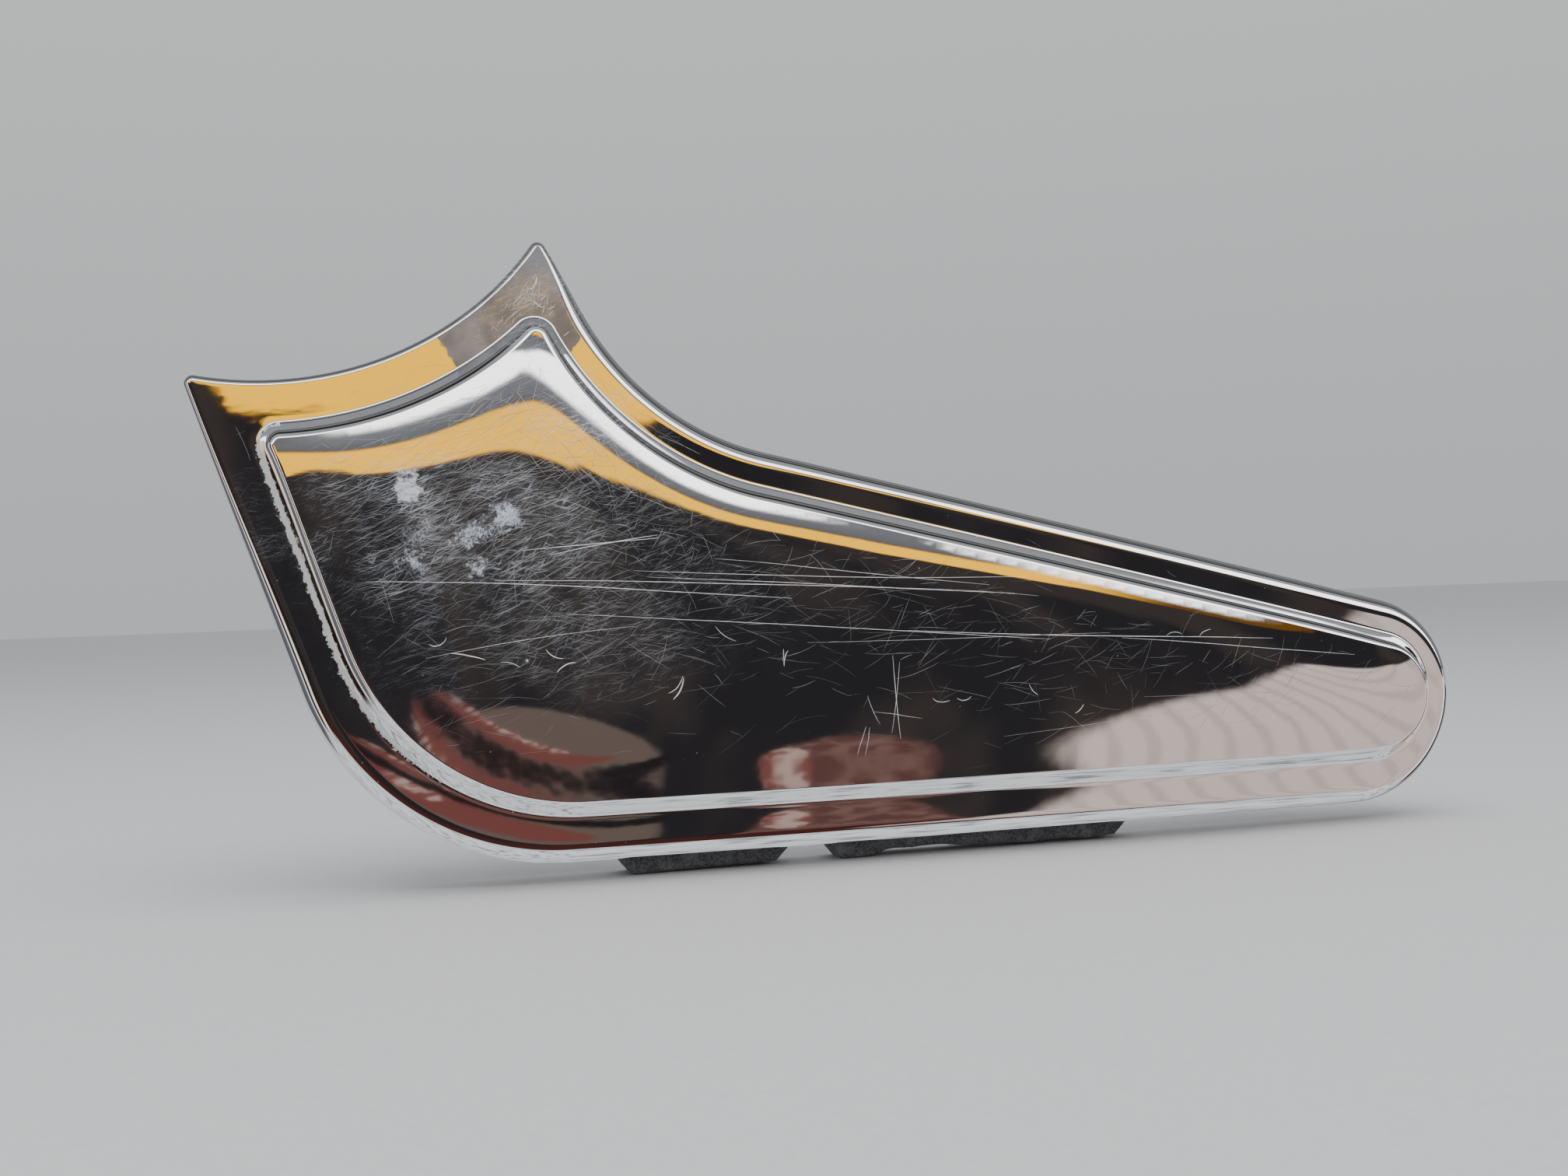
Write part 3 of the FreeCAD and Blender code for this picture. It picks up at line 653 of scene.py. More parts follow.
def turned(name, center, places, material, segments=96, closed=False):
    """A piece turned about an axis along Y, through (radius, y) places."""
    around = circle(segments)
    rows = [ring(center + around * radius, y) for radius, y in places]
    return loft(name, rows, material, closed=closed)


def make_ring(node, slot, center, corners, radius, material):
    """A turned ring: a closed profile of (radius, y) corners, rounded and spun about its axis."""
    name = f"{node}_{slot.split('_')[-1]}"
    profile = rounded(np.array(corners), radius)
    declare(turned(name, center, profile, material, closed=True), node)


def make_stud(name, center, material):
    """The stud: a chamfered hexagon collar, a plain neck and a threaded shank."""
    segments, steps = 72, 150
    angle = np.arange(segments) * math.tau / segments
    half = COLLAR_FLATS / 2
    hexagon = half / np.cos((angle % (math.pi / 3)) - math.pi / 6)
    back, front = -BOSS_FACE, -BOSS_FACE + COLLAR_THICKNESS
    places = []
    for start, sign in ((back, 1), (front, -1)):
        for depth in (0.0, 0.12, 0.25, 0.38)[::sign]:
            places.append((np.minimum(hexagon, half * 1.03 + depth * 1.7), start + sign * depth))
    places += [
        (NECK_RADIUS + 0.15, front + 0.01), (NECK_RADIUS, front + 0.15), (NECK_RADIUS, -0.1),
        (STUD_RADIUS, 0.1),
    ]
    for k in range(steps + 1):
        y = 0.3 + (STUD_REACH - 0.3) * k / steps
        turn = (y / THREAD_PITCH - angle / math.tau) % 1
        groove = np.clip(1.35 * (1 - abs(2 * turn - 1)) - 0.18, 0, 1)
        fade = smooth((y - 0.6) / 1.2)
        chamfer = max(0.0, y - (STUD_REACH - STUD_POINT))
        radius = np.minimum(STUD_RADIUS - THREAD_DEPTH * groove * fade, STUD_RADIUS - chamfer)
        places.append((radius, y))
    stud = turned(f"stud_{name}_steel", center, places, material, segments)
    declare(stud, f"stud_{name}")


def make_hardware(name, center, looks):
    """A stud with its washer and cushion."""
    make_stud(name, center, looks["zinc"])
    near = -BOSS_FACE + COLLAR_THICKNESS
    far = near + WASHER_THICKNESS
    washer = [
        (WASHER_HOLE, near), (WASHER_RADIUS, near), (WASHER_RADIUS, far), (WASHER_HOLE, far),
    ]
    make_ring(f"washer_{name}", "washer_steel", center, washer, 0.14, looks["washer"])
    make_ring(f"cushion_{name}", "rubber", center, [
        (CUSHION_HOLE, far), (CUSHION_RADIUS, far), (CUSHION_RADIUS, far + CUSHION_LIP),
        (CUSHION_WAIST, far + CUSHION_LIP + 0.15), (CUSHION_WAIST, -CUSHION_LIP - 0.15),
        (CUSHION_RADIUS, -CUSHION_LIP), (CUSHION_RADIUS, 0.0), (CUSHION_HOLE, 0.0),
    ], 0.22, looks["rubber"])


def make_boss(name, center, material):
    """One boss: a tube round the insert that flares into the shell's inner face."""
    ceiling = panel_height(center + circle(96) * BOSS_RADIUS) - WALL
    flare = 0.9
    places = [
        (BORE_RADIUS, -BOSS_FACE - BORE_DEPTH), (BORE_RADIUS, -BOSS_FACE - 0.2),
        (BORE_RADIUS + 0.18, -BOSS_FACE),
        (BOSS_RADIUS - 0.35, -BOSS_FACE), (BOSS_RADIUS - 0.1, -BOSS_FACE - 0.1),
        (BOSS_RADIUS, -BOSS_FACE - 0.35),
    ]
    for k in range(7):
        a = math.pi / 2 * k / 6
        radius = BOSS_RADIUS + flare * (1 - math.cos(a))
        places.append((radius, flare * (1 - math.sin(a)) - ceiling))
    places.append((BOSS_RADIUS + flare, -ceiling - 0.4))
    return turned(f"boss_{name}", center, places, material)


def make_wall(name, start, end, width, face, material):
    """A thin wall between two flat points, from the shell's inner face down to its free edge."""
    way = (end - start) / abs(end - start)
    count = max(4, int(abs(end - start) / 1.5))
    half, edge = width / 2, 0.35
    rows = []
    for k in range(count + 1):
        at = start + (end - start) * k / count
        top = panel_height(np.array([at]))[0] - WALL
        section = [
            (half + 0.6, top + 0.3), (half + 0.6, top), (half + 0.15, top - 0.25),
            (half, top - 0.8), (half, face + edge), (half - edge * 0.3, face + edge * 0.3),
            (half - edge, face),
        ]
        section += [(-offset, height) for offset, height in reversed(section)]
        offsets, heights = np.array(section).T
        rows.append(ring(at + way * 1j * offsets, -heights))
    return loft(name, rows, material, flip=True)


def make_ribs(material):
    """Bosses, their gussets and the spine between the lower stud and the tail stud."""
    made = []
    for name, center in STUDS.items():
        made.append(make_boss(name, center, material))
        for k, way in enumerate((1, 1j, -1, -1j)):
            start, end = center + way * (BOSS_RADIUS - 0.4), center + way * GUSSET_REACH
            wall = (start, end, GUSSET_WIDTH, GUSSET_FACE)
            made.append(make_wall(f"gusset_{name}_{k}", *wall, material))
    reach = STUDS["tail"] / abs(STUDS["tail"]) * (BOSS_RADIUS - 0.4)
    wall = (reach, STUDS["tail"] - reach, SPINE_WIDTH, SPINE_FACE)
    made.append(make_wall("spine", *wall, material))
    for piece in made:
        declare(piece, "trim_shell")


# ---- foam strips

FOAM_WIDTH, FOAM_BEVEL, FOAM_THINNEST, INNER_FOAM_THICKNESS = 6.0, 2.4, 0.12, 2.9


def foam_strip(name, material, start, end, drop, seed):
    """A soft foam strip hanging from a straight wall between two flat points. The drop gives its
    thickness for each share of its length."""
    length = abs(end - start)
    way = (end - start) / length
    columns = int(length / 0.3)
    corner = 0.35
    section = []
    flat = [(0.0, 0.0), (0.0, 1.0), (1.0, 1.0), (1.0, 0.0)]
    for (u0, v0), (u1, v1) in zip(flat, flat[1:] + flat[:1]):
        steps = 20 if u0 != u1 else 10
        section += [
            (u0 + (u1 - u0) * k / steps, v0 + (v1 - v0) * k / steps) for k in range(steps)
        ]
    rows = []
    for column in range(columns + 1):
        share = column / columns
        deep = drop(share)
        row = []
        for u, v in section:
            y = -FOAM_WIDTH * u
            near_edge = max(0.0, 1 - min(u, 1 - u) * FOAM_WIDTH / corner)
            fall = deep * v - min(corner, deep * 0.5) * v * near_edge**2
            at = start + way * (length * share - 1j * fall)
            grain = Vector((at.real, y, at.imag))
            rough = noise.noise(grain * 2.3 + Vector((seed, 0, 0))) * 0.07
            rough += noise.noise(grain * 5.0 + Vector((0, seed, 0))) * 0.05
            at -= way * 1j * rough * v
            if u in (0.0, 1.0) and v > 0:
                y += rough * 0.8
            row.append((at.real, min(0.0, max(-FOAM_WIDTH, y)), at.imag))
        rows.append(row)
    strip = loft(f"{name}_cells", rows, material, flip=True, sharp=50)
    declare(strip, name)


def bevelled(thick, length):
    """Full thickness along a strip, with bevelled ends."""
    def drop(share):
        end = min(share, 1 - share) * length
        return max(FOAM_THINNEST, thick * min(1.0, end / FOAM_BEVEL))
    return drop


def make_foams(material):
    """The strips under the lower edge, and the ones along the inside of the upper and side walls."""
    for name, seed in (("foam_lower_front", 3.0), ("foam_lower_rear", 11.0)):
        low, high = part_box(name)
        start, end = complex(low.x, high.z) / MM, complex(high.x, high.z) / MM
        plain = bevelled((high.z - low.z) / MM - 0.1, abs(end - start))

        def worn(share):
            return plain(share) * (1 - 0.16 * share)

        def torn(share):
            gone = 0.35 * smooth((share - 0.12) / 0.1) - 0.2 * smooth((share - 0.3) / 0.3)
            wave = 0.08 * math.sin(share * 31) * smooth((share - 0.1) / 0.2)
            return max(FOAM_THINNEST, plain(share) * (1 - gone + wave * 0.5))

        drop = worn if name == "foam_lower_front" else torn
        foam_strip(name, material, start, end, drop, seed)
    # The upper strip starts at the upper left corner of its box, and the side strip ends there
    for name, way, length, share, seed in (
        ("foam_upper", unit(-UPPER_SLOPE), 60.0, 0.0, 23.0),
        ("foam_side", 1j * unit(SIDE_LEAN), 26.0, 1.0, 31.0),
    ):
        low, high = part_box(name)
        start = complex(low.x, high.z) / MM - way * length * share
        drop = bevelled(INNER_FOAM_THICKNESS, length)
        foam_strip(name, material, start, start + way * length, drop, seed)


# ---- wear on the front


def add_scratches(surface, strokes):
    """Hairlines along paths of flat points: thin ribbons that taper at both ends. The ones that
    would run over the step or the rim are left out."""
    every = np.concatenate([path for path, _, _ in strokes])
    panel, land, step = (inside(every, loop) for loop in (PANEL_TOP, LAND_OUT, LAND_IN))
    edges, middles, counts, strengths, on_panel = [], [], [], [], []
    first = 0
    for path, width, strength in strokes:
        own = slice(first, first + len(path))
        first += len(path)
        if not (panel[own].all() or (land[own].all() and not step[own].any())):
            continue
        way = np.gradient(path)
        taper = np.sqrt(np.sin(np.linspace(0.08, math.pi - 0.08, len(path))))
        half = 1j * way / np.abs(way) * width / 2 * taper
        edges += [path + half, path - half]
        middles += [path, path]
        counts.append(len(path))
        strengths.append(strength)
        on_panel.append(panel[own].all())
    edges, middles = np.concatenate(edges), np.concatenate(middles)
    strengths, on_panel = (np.repeat(kept, 2 * np.array(counts)) for kept in (strengths, on_panel))
    top = height_normals(middles, panel_height)
    normals = np.where(on_panel[:, None], top, height_normals(middles, land_height))
    heights = np.where(on_panel, panel_height(edges), land_height(edges))
    surface.add(place(edges, heights) + normals * (LIFT * MM), normals, strength=strengths)
    left = 0
    for count in counts:
        right = left + count
        for i in range(count - 1):
            surface.face((right + i, right + i + 1, left + i + 1, left + i))
        left = right + count


def bent_path(start, angle, length, bend, waver, rng):
    """A path that starts at a point, keeps its way on the whole and bends a little."""
    steps = max(6, int(length / 1.2))
    at, path = start, [start]
    for _ in range(steps):
        angle += bend / steps + rng.gauss(0, waver)
        at += length / steps * unit(angle)
        path.append(at)
    return np.array(path)


# Scratches stay inside the panel's top, or between the rim and the foot of the step
PANEL_TOP = FOOT + FOOT_IN * 3.3
LAND_OUT = OUTER + OUTER_IN * 3.0
LAND_IN = FOOT - FOOT_IN * 0.9

# Each family of scratches: how many, their middle, their spread, their angle and its spread in
# degrees, the shortest and longest, the widest in mm, and the strongest
FAMILIES = (
    (950, -8 + 22j, (18, 11), 22, 16, 1.5, 8, 0.038, 0.65),
    (620, 6 + 22j, (24, 14), 5, 60, 1.5, 7, 0.036, 0.6),
    (260, 14 + 35j, (12, 8), -40, 40, 2, 8, 0.045, 0.75),
    (260, 0 + 4j, (22, 12), 15, 25, 2, 10, 0.045, 0.45),
    (240, 45 + 8j, (30, 12), 8, 50, 2, 9, 0.045, 0.55),
    (130, 85 - 4j, (30, 9), 12, 60, 2, 8, 0.045, 0.5),
    (60, 125 - 8j, (22, 7), 30, 50, 1.5, 7, 0.045, 0.45),
    (320, 4 + 53.5j, (7, 6.5), 60, 45, 0.8, 3.5, 0.085, 1),
    (220, -7 + 37j, (14, 4), 30, 35, 2, 8, 0.045, 0.8),
    (120, -20 + 30j, (14, 22), 10, 40, 1, 5, 0.045, 0.5),
    (90, 85 + 10j, (50, 22), -8, 30, 2, 9, 0.045, 0.45),
)
# Long single scratches: start, length, angle and bend in degrees, width in mm, strength
LONG_MARKS = (
    (-20 + 13.2j, 62, -1.6, -2, 0.1, 1), (-2 + 12.8j, 60, -2.2, -1, 0.09, 1),
    (18 + 13.6j, 62, -4, 2, 0.08, 0.9), (20 + 12.6j, 58, -4.2, 1, 0.08, 0.9),
    (26 + 11.6j, 56, -3.2, -2, 0.07, 0.8), (30 + 15.0j, 44, -5, 1, 0.07, 0.8),
    (8 + 7.6j, 76, -3.4, -3, 0.08, 0.9), (60 + 3.2j, 64, -4.8, 2, 0.1, 1),
    (96 + 0.6j, 44, -5, -2, 0.08, 0.9), (44 + 2.0j, 50, -1.5, -3, 0.06, 0.7),
    (2 + 17.0j, 20, 4, -3, 0.1, 1), (6 + 16.2j, 16, 12, -5, 0.11, 1),
    (100 - 9.0j, 40, -1, 1, 0.05, 0.6), (76 - 14.0j, 46, 3.5, 2, 0.05, 0.6),
    (-12 + 2.0j, 30, 10, -6, 0.07, 0.8), (-24 + 4.8j, 22, 16, -5, 0.06, 0.7),
)
# Short deep marks: start, length, angle, bend, width, strength
SHORT_MARKS = (
    (5 + 2.6j, 3, -70, 60, 0.14, 1), (6.5 - 0.8j, 3.2, 60, -60, 0.16, 1),
    (25 - 2.2j, 3.4, -110, -50, 0.12, 1), (23.5 - 5.6j, 3.6, 40, 40, 0.2, 1),
    (41 + 0.9j, 2.4, -130, 30, 0.14, 1), (40.2 - 0.6j, 1.8, 70, 20, 0.1, 0.9),
    (57.5 - 0.5j, 13, -86, 5, 0.1, 0.9),
    (58.6 - 1.5j, 11, -94, -4, 0.08, 0.8), (54.5 - 9.0j, 8, -4, 2, 0.07, 0.7),
    (53.5 - 6.5j, 5, -80, 20, 0.08, 0.7), (64 - 7.4j, 3, -55, 80, 0.12, 0.9),
    (68 - 7.6j, 2.6, -50, 90, 0.12, 0.9), (80 - 6.0j, 2.4, -80, 40, 0.1, 0.8),
    (104 + 0.6j, 3, 40, -60, 0.1, 0.8), (110 + 0.2j, 2.6, 60, -60, 0.1, 0.8),
    (88 - 11.0j, 2, 20, 30, 0.14, 0.9), (-11.5 + 4.0j, 3, -50, 110, 0.12, 1),
    (-8.5 + 2.6j, 5, 0, -20, 0.16, 1), (-1.5 + 1.0j, 3, 10, -60, 0.1, 0.9),
    (30 + 5.0j, 4, -60, 30, 0.08, 0.8), (52 - 15.5j, 4.5, 75, 5, 0.09, 0.8),
    (53.2 - 15.8j, 4.5, 74, 5, 0.08, 0.8), (-33 + 14.0j, 4, 100, -130, 0.07, 0.9),
    (6.4 + 58.0j, 2.6, -70, -80, 0.16, 0.9), (5.8 + 54.5j, 2, -80, 60, 0.12, 0.9),
)


def make_scratches(material):
    """All the hairlines and marks, as one mesh of ribbons just above the plating."""
    rng = random.Random(41)
    strokes = []
    for count, middle, spread, angle, fan, short, long, widest, strongest in FAMILIES:
        for _ in range(count):
            start = middle + complex(rng.gauss(0, spread[0] * 0.6), rng.gauss(0, spread[1] * 0.6))
            way = math.radians(rng.gauss(angle, fan * 0.6))
            length = short + (long - short) * rng.random() ** 1.8
            path = bent_path(start, way, length, rng.gauss(0, 0.25), 0.03, rng)
            width = widest * (0.45 + 0.55 * rng.random())
            strokes.append((path, width, strongest * (0.25 + 0.75 * rng.random() ** 1.5)))
    for start, length, angle, bend, width, strength in LONG_MARKS + SHORT_MARKS:
        waver = 0.004 if length > 9 else 0.06
        path = bent_path(start, math.radians(angle), length, math.radians(bend), waver, rng)
        strokes.append((path, width, strength))
    surface = Surface()
    add_scratches(surface, strokes)
    piece = surface.build("shell_scratches", [material])
    declare(piece, "trim_shell")


# ---- materials


def new_material(name):
    """A material, its nodes and the place on the piece."""
    material = bpy.data.materials.new(name)
    material.use_nodes = True
    n = Nodes(material.node_tree)
    return material, n, n.add("TexCoord", out="Object")


def streaks(n, where, angle, along, across, low, high):
    """Fine short lines at an angle in degrees: 0 between them and 1 on them."""
    turned = n.add(
        "VectorRotate", {"rotation_type": "Y_AXIS"}, Vector=where, Angle=math.radians(angle)
    )
    wavy = n.noise(where, 130, 1, out="Color")
    bent = n.vector("MULTIPLY_ADD", wavy, (0.0018, 0.0018, 0.0018), turned)
    squeezed = n.add("Mapping", Vector=bent, Scale=(along, 200, across))
    return n.noise(squeezed, 1, 1).step(low, high)


def spot(n, where, center, radius_x, radius_z, tilt=0.0):
    """1 at a flat point of the front (in mm) and falling to 0 at an ellipse round it."""
    moved = n.add(
        "Mapping", {"vector_type": "TEXTURE"}, Vector=where,
        Location=(center.real * MM, 0, center.imag * MM), Rotation=(0, math.radians(-tilt), 0),
        Scale=(radius_x * MM, 1000.0, radius_z * MM),
    )
    return n.vector("LENGTH", moved, out="Value").step(1.0, 0.0)


def most(values):
    first, *rest = values
    for value in rest:
        first = first.nodes.math("MAXIMUM", first, value)
    return first


def spots(n, where, marks):
    """The strongest of some spots, each given with its share first."""
    return most(spot(n, where, *place) * share for share, *place in marks)


def chrome_front():
    """Bright chrome with a cloud of fine wear, small scuffs, pale dirt in the crease and a painted
    dark reflection round the horn.
    """
    material, n, where = new_material("chrome_front")
    blotch = n.noise(where, 120, 3, 0.6)
    fine = n.noise(where, 900)
    cloud = spots(n, where, (
        (1, -6 + 22j, 38, 18), (1, 13 + 36j, 16, 11), (0.45, 6 + 10j, 46, 22),
        (0.8, 5 + 54j, 16, 13),
    ))
    patchy = cloud * blotch.step(0.3, 0.66)
    lines = most(streaks(n, where, *line) for line in (
        (22, 330, 5200, 0.56, 0.7), (-8, 420, 6000, 0.6, 0.72),
        (55, 380, 5600, 0.62, 0.74),
    ))
    wear = patchy * lines * 0.62 + patchy * (fine * 0.05 + 0.02)
    bends = n.noise(where, 420, 3, 0.7, "Color")
    uneven = n.vector("MULTIPLY_ADD", bends, (0.007, 0, 0.007), (-0.0035, 0, -0.0035))
    scuff = spots(n, n.vector("ADD", where, uneven), (
        (1, -0.6 + 22.1j, 4.4, 4, 25), (1, -5.3 + 19.3j, 5.4, 3.6, 25),
        (1, -13.9 + 26.3j, 3.2, 3.6), (0.28, 11 + 17j, 9, 5), (0.65, -13.1 + 15.9j, 4.2, 3.4),
        (0.7, -4.8 + 14.7j, 2.8, 2.2), (0.4, -13 + 20j, 8, 5, 30),
    ))
    powder = n.noise(where, 3200, 3, 0.75) * 1.5 + -0.65
    scuff = (scuff * (blotch * 0.9 + powder)).step(0.12, 0.46) * 0.95
    cells = n.add("TexVoronoi", out="Distance", Vector=where, Scale=170)
    dots = cells.step(0.045, 0.025) * n.noise(where, 230, 0).step(0.58, 0.62)
    worn = most([wear, scuff, dots * 0.7])

    tint = n.mix(blotch, (0.8, 0.8, 0.81), (0.87, 0.87, 0.875))
    rough = fine * 0.015 + (cloud * 0.025 + 0.022)
    plating = n.surface(tint, rough, 1, (0.035, 0.0002, n.noise(where, 160)))
    scraped = n.surface(n.mix(blotch, (0.46, 0.53, 0.66), (0.84, 0.86, 0.89)), 0.55)
    result = n.blend(worn, plating, scraped)

    ragged = n.noise(where, 1100, 4, 0.7) * 2.4 + -1.2
    dirt = (n.painted("residue") + ragged).step(0.5, 0.66)
    dust = n.surface(n.mix(fine, (0.5, 0.53, 0.53), (0.76, 0.79, 0.78)), 0.8)
    result = n.blend(dirt * 0.85, result, dust)

    # Round the horn the land gets a painted dark reflection: a matte dark grey in place of the
    # mirror, with a ragged edge, weaker where the plating is worn
    # Noise for the ragged edge of the painted dark reflection
    torn = n.noise(where, 420, 3, 0.6) * 0.9 + -0.45
    painted_dark_reflection = (n.painted("dull") + torn).step(0.38, 0.58)
    # The painted dark reflection's colour
    shade = n.mix(blotch.step(0.35, 0.65), (0.105, 0.105, 0.112), (0.2, 0.2, 0.212))
    n.output(n.blend(painted_dark_reflection * (worn * -0.9 + 0.97), result, n.surface(shade, 0.45)))
    return material


def metal(name, first, second, scale, rough, spread, metallic=1.0, bump=0.1):
    """A metal with a mottled colour and roughness."""
    material, n, where = new_material(name)
    mottle = n.noise(where, scale, 4.0, 0.6)
    color = n.mix(mottle.step(0.3, 0.7), first, second)
    relief = (bump, 0.0003, n.noise(where, scale * 4, 3.0))
    n.output(n.surface(color, mottle * spread + rough, metallic, relief))
    return material


def scratch_metal():
    """Torn-up plating: pale and rough, and fainter where the scratch is weak."""
    material, n, where = new_material("scratched_plating")
    strength = n.painted("strength")
    uneven = n.noise(where, 500) * 0.9 + 0.45
    color = n.mix(n.noise(where, 90, 1), (0.8, 0.82, 0.86), (0.97, 0.96, 0.94))
    plating = n.surface((0.24, 0.25, 0.27, 1), 0.06, 1)
    pale = n.math("MULTIPLY", strength, uneven, use_clamp=True)
    n.output(n.blend(pale, plating, n.surface(color, 0.5)))
    return material


def foam_material():
    """Dark grey open-cell foam, slightly dusty."""
    material, n, where = new_material("foam_cells")
    cells = n.add("TexVoronoi", out="Distance", Vector=where, Scale=2600)
    pits = cells.step(0.15, 0.75)
    dust = n.noise(where, 300, 4, 0.65).step(0.45, 0.8)
    base = n.mix(pits, (0.035, 0.036, 0.04), (0.095, 0.098, 0.105))
    color = n.mix(dust, base, (0.17, 0.175, 0.185))
    n.output(n.surface(color, 0.95, relief=(0.7, 0.00012, pits)))
    return material


def make_looks():
    """Every material. The brass goes straight onto the inserts of the frame."""
    looks = {"front": chrome_front(), "scratch": scratch_metal(), "foam": foam_material()}
    for key, *look in (
        ("back", "chrome_back", (0.62, 0.62, 0.63), (0.76, 0.76, 0.765), 260, 0.2, 0.22, 1, 0.25),
        ("zinc", "zinc_steel", (0.6, 0.59, 0.55), (0.74, 0.74, 0.72), 700, 0.22, 0.25),
        ("washer", "washer_steel", (0.5, 0.5, 0.49), (0.66, 0.66, 0.65), 500, 0.3, 0.25),
        ("brass", "brass", (0.68, 0.46, 0.17), (0.8, 0.6, 0.28), 600, 0.22, 0.2),
        ("rubber", "rubber", (0.016, 0.016, 0.017), (0.035, 0.035, 0.036), 500, 0.55, 0.25, 0, 0.3),
    ):
        looks[key] = metal(*look)
    for node in ("insert_lower", "insert_upper", "insert_tail"):
        materials = bpy.data.objects[node].data.materials
        materials.clear()
        materials.append(looks["brass"])
    return looks


# ---- stage, light and camera



def blob(across, upwards, center, reach):
    """1 inside an ellipse of the room and 0 outside it."""
    sides = zip((across, upwards), center, reach)
    off_x, off_z = ((value - middle) * (1 / size) for value, middle, size in sides)
    return (off_x ** 2.0 + off_z ** 2.0).step(1.12, 0.88)


def arc_ramp(n, degrees, stops):
    """A ramp over an angle from -180 to 180 degrees."""
    stops = [(0.5 + angle / 360, color) for angle, color in stops]
    return n.ramp(degrees * (1 / 360) + 0.5, stops)


def level_over(n, x, stops):
    """An angle in degrees that changes with x, by a grey ramp that stands for up to 90 degrees."""
    return n.ramp(x * 0.5 + 0.5, [((at + 1) / 2, angle / 90) for at, angle in stops]) * 90.0


def room_in_front(n, x, rise, boards):
    """What the front mirrors above and below: a bright floor, a dark wall, an amber board and a
    bright ceiling, with warm shapes low down. rise is the angle up from straight ahead."""
    plane = n.add("CombineXYZ", X=x * 22, Y=rise)
    room = arc_ramp(n, rise, [
        (-179, (0.45, 0.46, 0.48)), (-150, (0.75, 0.77, 0.8)), (-60, (1, 1.03, 1.07)),
        (-46.5, (0.75, 0.77, 0.8)), (-45.5, (0.01, 0.008, 0.007)), (29.5, (0.01, 0.008, 0.007)),
        (31, (0.17, 0.165, 0.17)), (37, (0.22, 0.23, 0.25)), (58, (0.42, 0.43, 0.45)),
        (83, (0.36, 0.37, 0.385)), (86, (0.025, 0.023, 0.022)), (94, (0.025, 0.023, 0.022)),
        (97, (0.19, 0.195, 0.21)), (106, (0.19, 0.195, 0.21)), (109, 0.05), (113, 0.05),
        (117, (0.23, 0.24, 0.255)), (140, (0.23, 0.24, 0.255)), (179, (0.2, 0.2, 0.21)),
    ])
    squeezed = n.add("Mapping", Vector=plane, Scale=(1.2, 0.07, 1))
    ripple = n.noise(squeezed, 1, 3, 0.6).step(0.48, 0.66) * rise.step(-46, -50)
    room = n.mix(ripple, room, (0.36, 0.375, 0.395))
    night = n.mix(boards.step(0.42, 0.6), (0.048, 0.039, 0.036), (0.024, 0.022, 0.025))
    room = n.mix(rise.step(-45, -44) * rise.step(31, 29.5), room, night)
    lowest = level_over(n, x, (
        (-0.2, 21), (-0.178, 19.4), (-0.165, 16.6), (-0.13, 16.2), (-0.03, 16.3), (0.08, 15.4),
        (0.14, 14.9), (0.18, 17.6), (0.22, 18.3), (0.31, 23.5), (0.4, 22.5), (0.55, 24),
        (0.6, 22.5), (0.66, 18),
    ))
    brushed = (n.noise(plane, 1.6, 4, 0.65) * 6 + -2.9) * x.step(-0.06, -0.14)
    board = (rise + brushed - lowest).step(-0.6, 0.6) * rise.step(31, 29)
    amber = n.mix(x.step(0.54, 0.62), (1.8, 0.92, 0.045), (0.17, 0.075, 0.01))
    room = n.mix(board, room, amber)
    # The bright ceiling starts lower towards the right
    ceiling = level_over(n, x, (
        (-0.2, 43.2), (-0.17, 41.4), (0, 42.4), (0.1, 41.2), (0.3, 38), (0.4, 38.6),
        (0.445, 39.6), (0.475, 34), (0.57, 29.5), (0.66, 22.7),
    ))
    lit = (rise - ceiling).step(-3.4, 1.2) ** 2 * rise.step(58, 55)
    room = n.mix(lit, room, (3.4, 3.4, 3.45))

    # Low down: a beige shape with a bent red bar across it, dark under the bar and red again below
    # that, and a brown shape further right. Along the floor everything turns dark red.
    bent = x * 50 + (x * x * -220 + rise)
    streak = n.noise(plane, 2).step(0.42, 0.6)
    red = (0.2, 0.066, 0.057)
    pale = n.mix(streak, red, (0.52, 0.37, 0.32))
    skin = n.mix(streak, (0.12, 0.055, 0.049), (0.21, 0.115, 0.1))
    beige = blob(x, x * 30 + rise, (0.035, -21.5), (0.105, 4.2))
    room = n.mix(beige, room, (0.15, 0.112, 0.094))
    under = bent.step(-21.66, -21.74) * x.step(0.15, 0.135) * bent.step(-22.5, -22.3)
    room = n.mix(under, room, (0.018, 0.015, 0.017))
    for upwards, center, reach, color in (
        (bent, (0, -21.25), (0.098, 0.36), red),
        (bent, (-0.015, -20.85), (0.07, 0.16), pale),
        (bent, (-0.02, -23.4), (0.112, 1), red),
        (bent, (-0.045, -22.9), (0.022, 0.5), pale),
        (rise, (0.283, -29.6), (0.088, 5.7), skin),
        (rise, (0.236, -25.7), (0.02, 0.9), pale),
    ):
        room = n.mix(blob(x, upwards, center, reach), room, color)
    low = rise.step(-28.2, -29.2) * rise.step(-45, -44) * x.step(0.5, 0.4)
    return n.mix(low, room, (0.075, 0.022, 0.019))


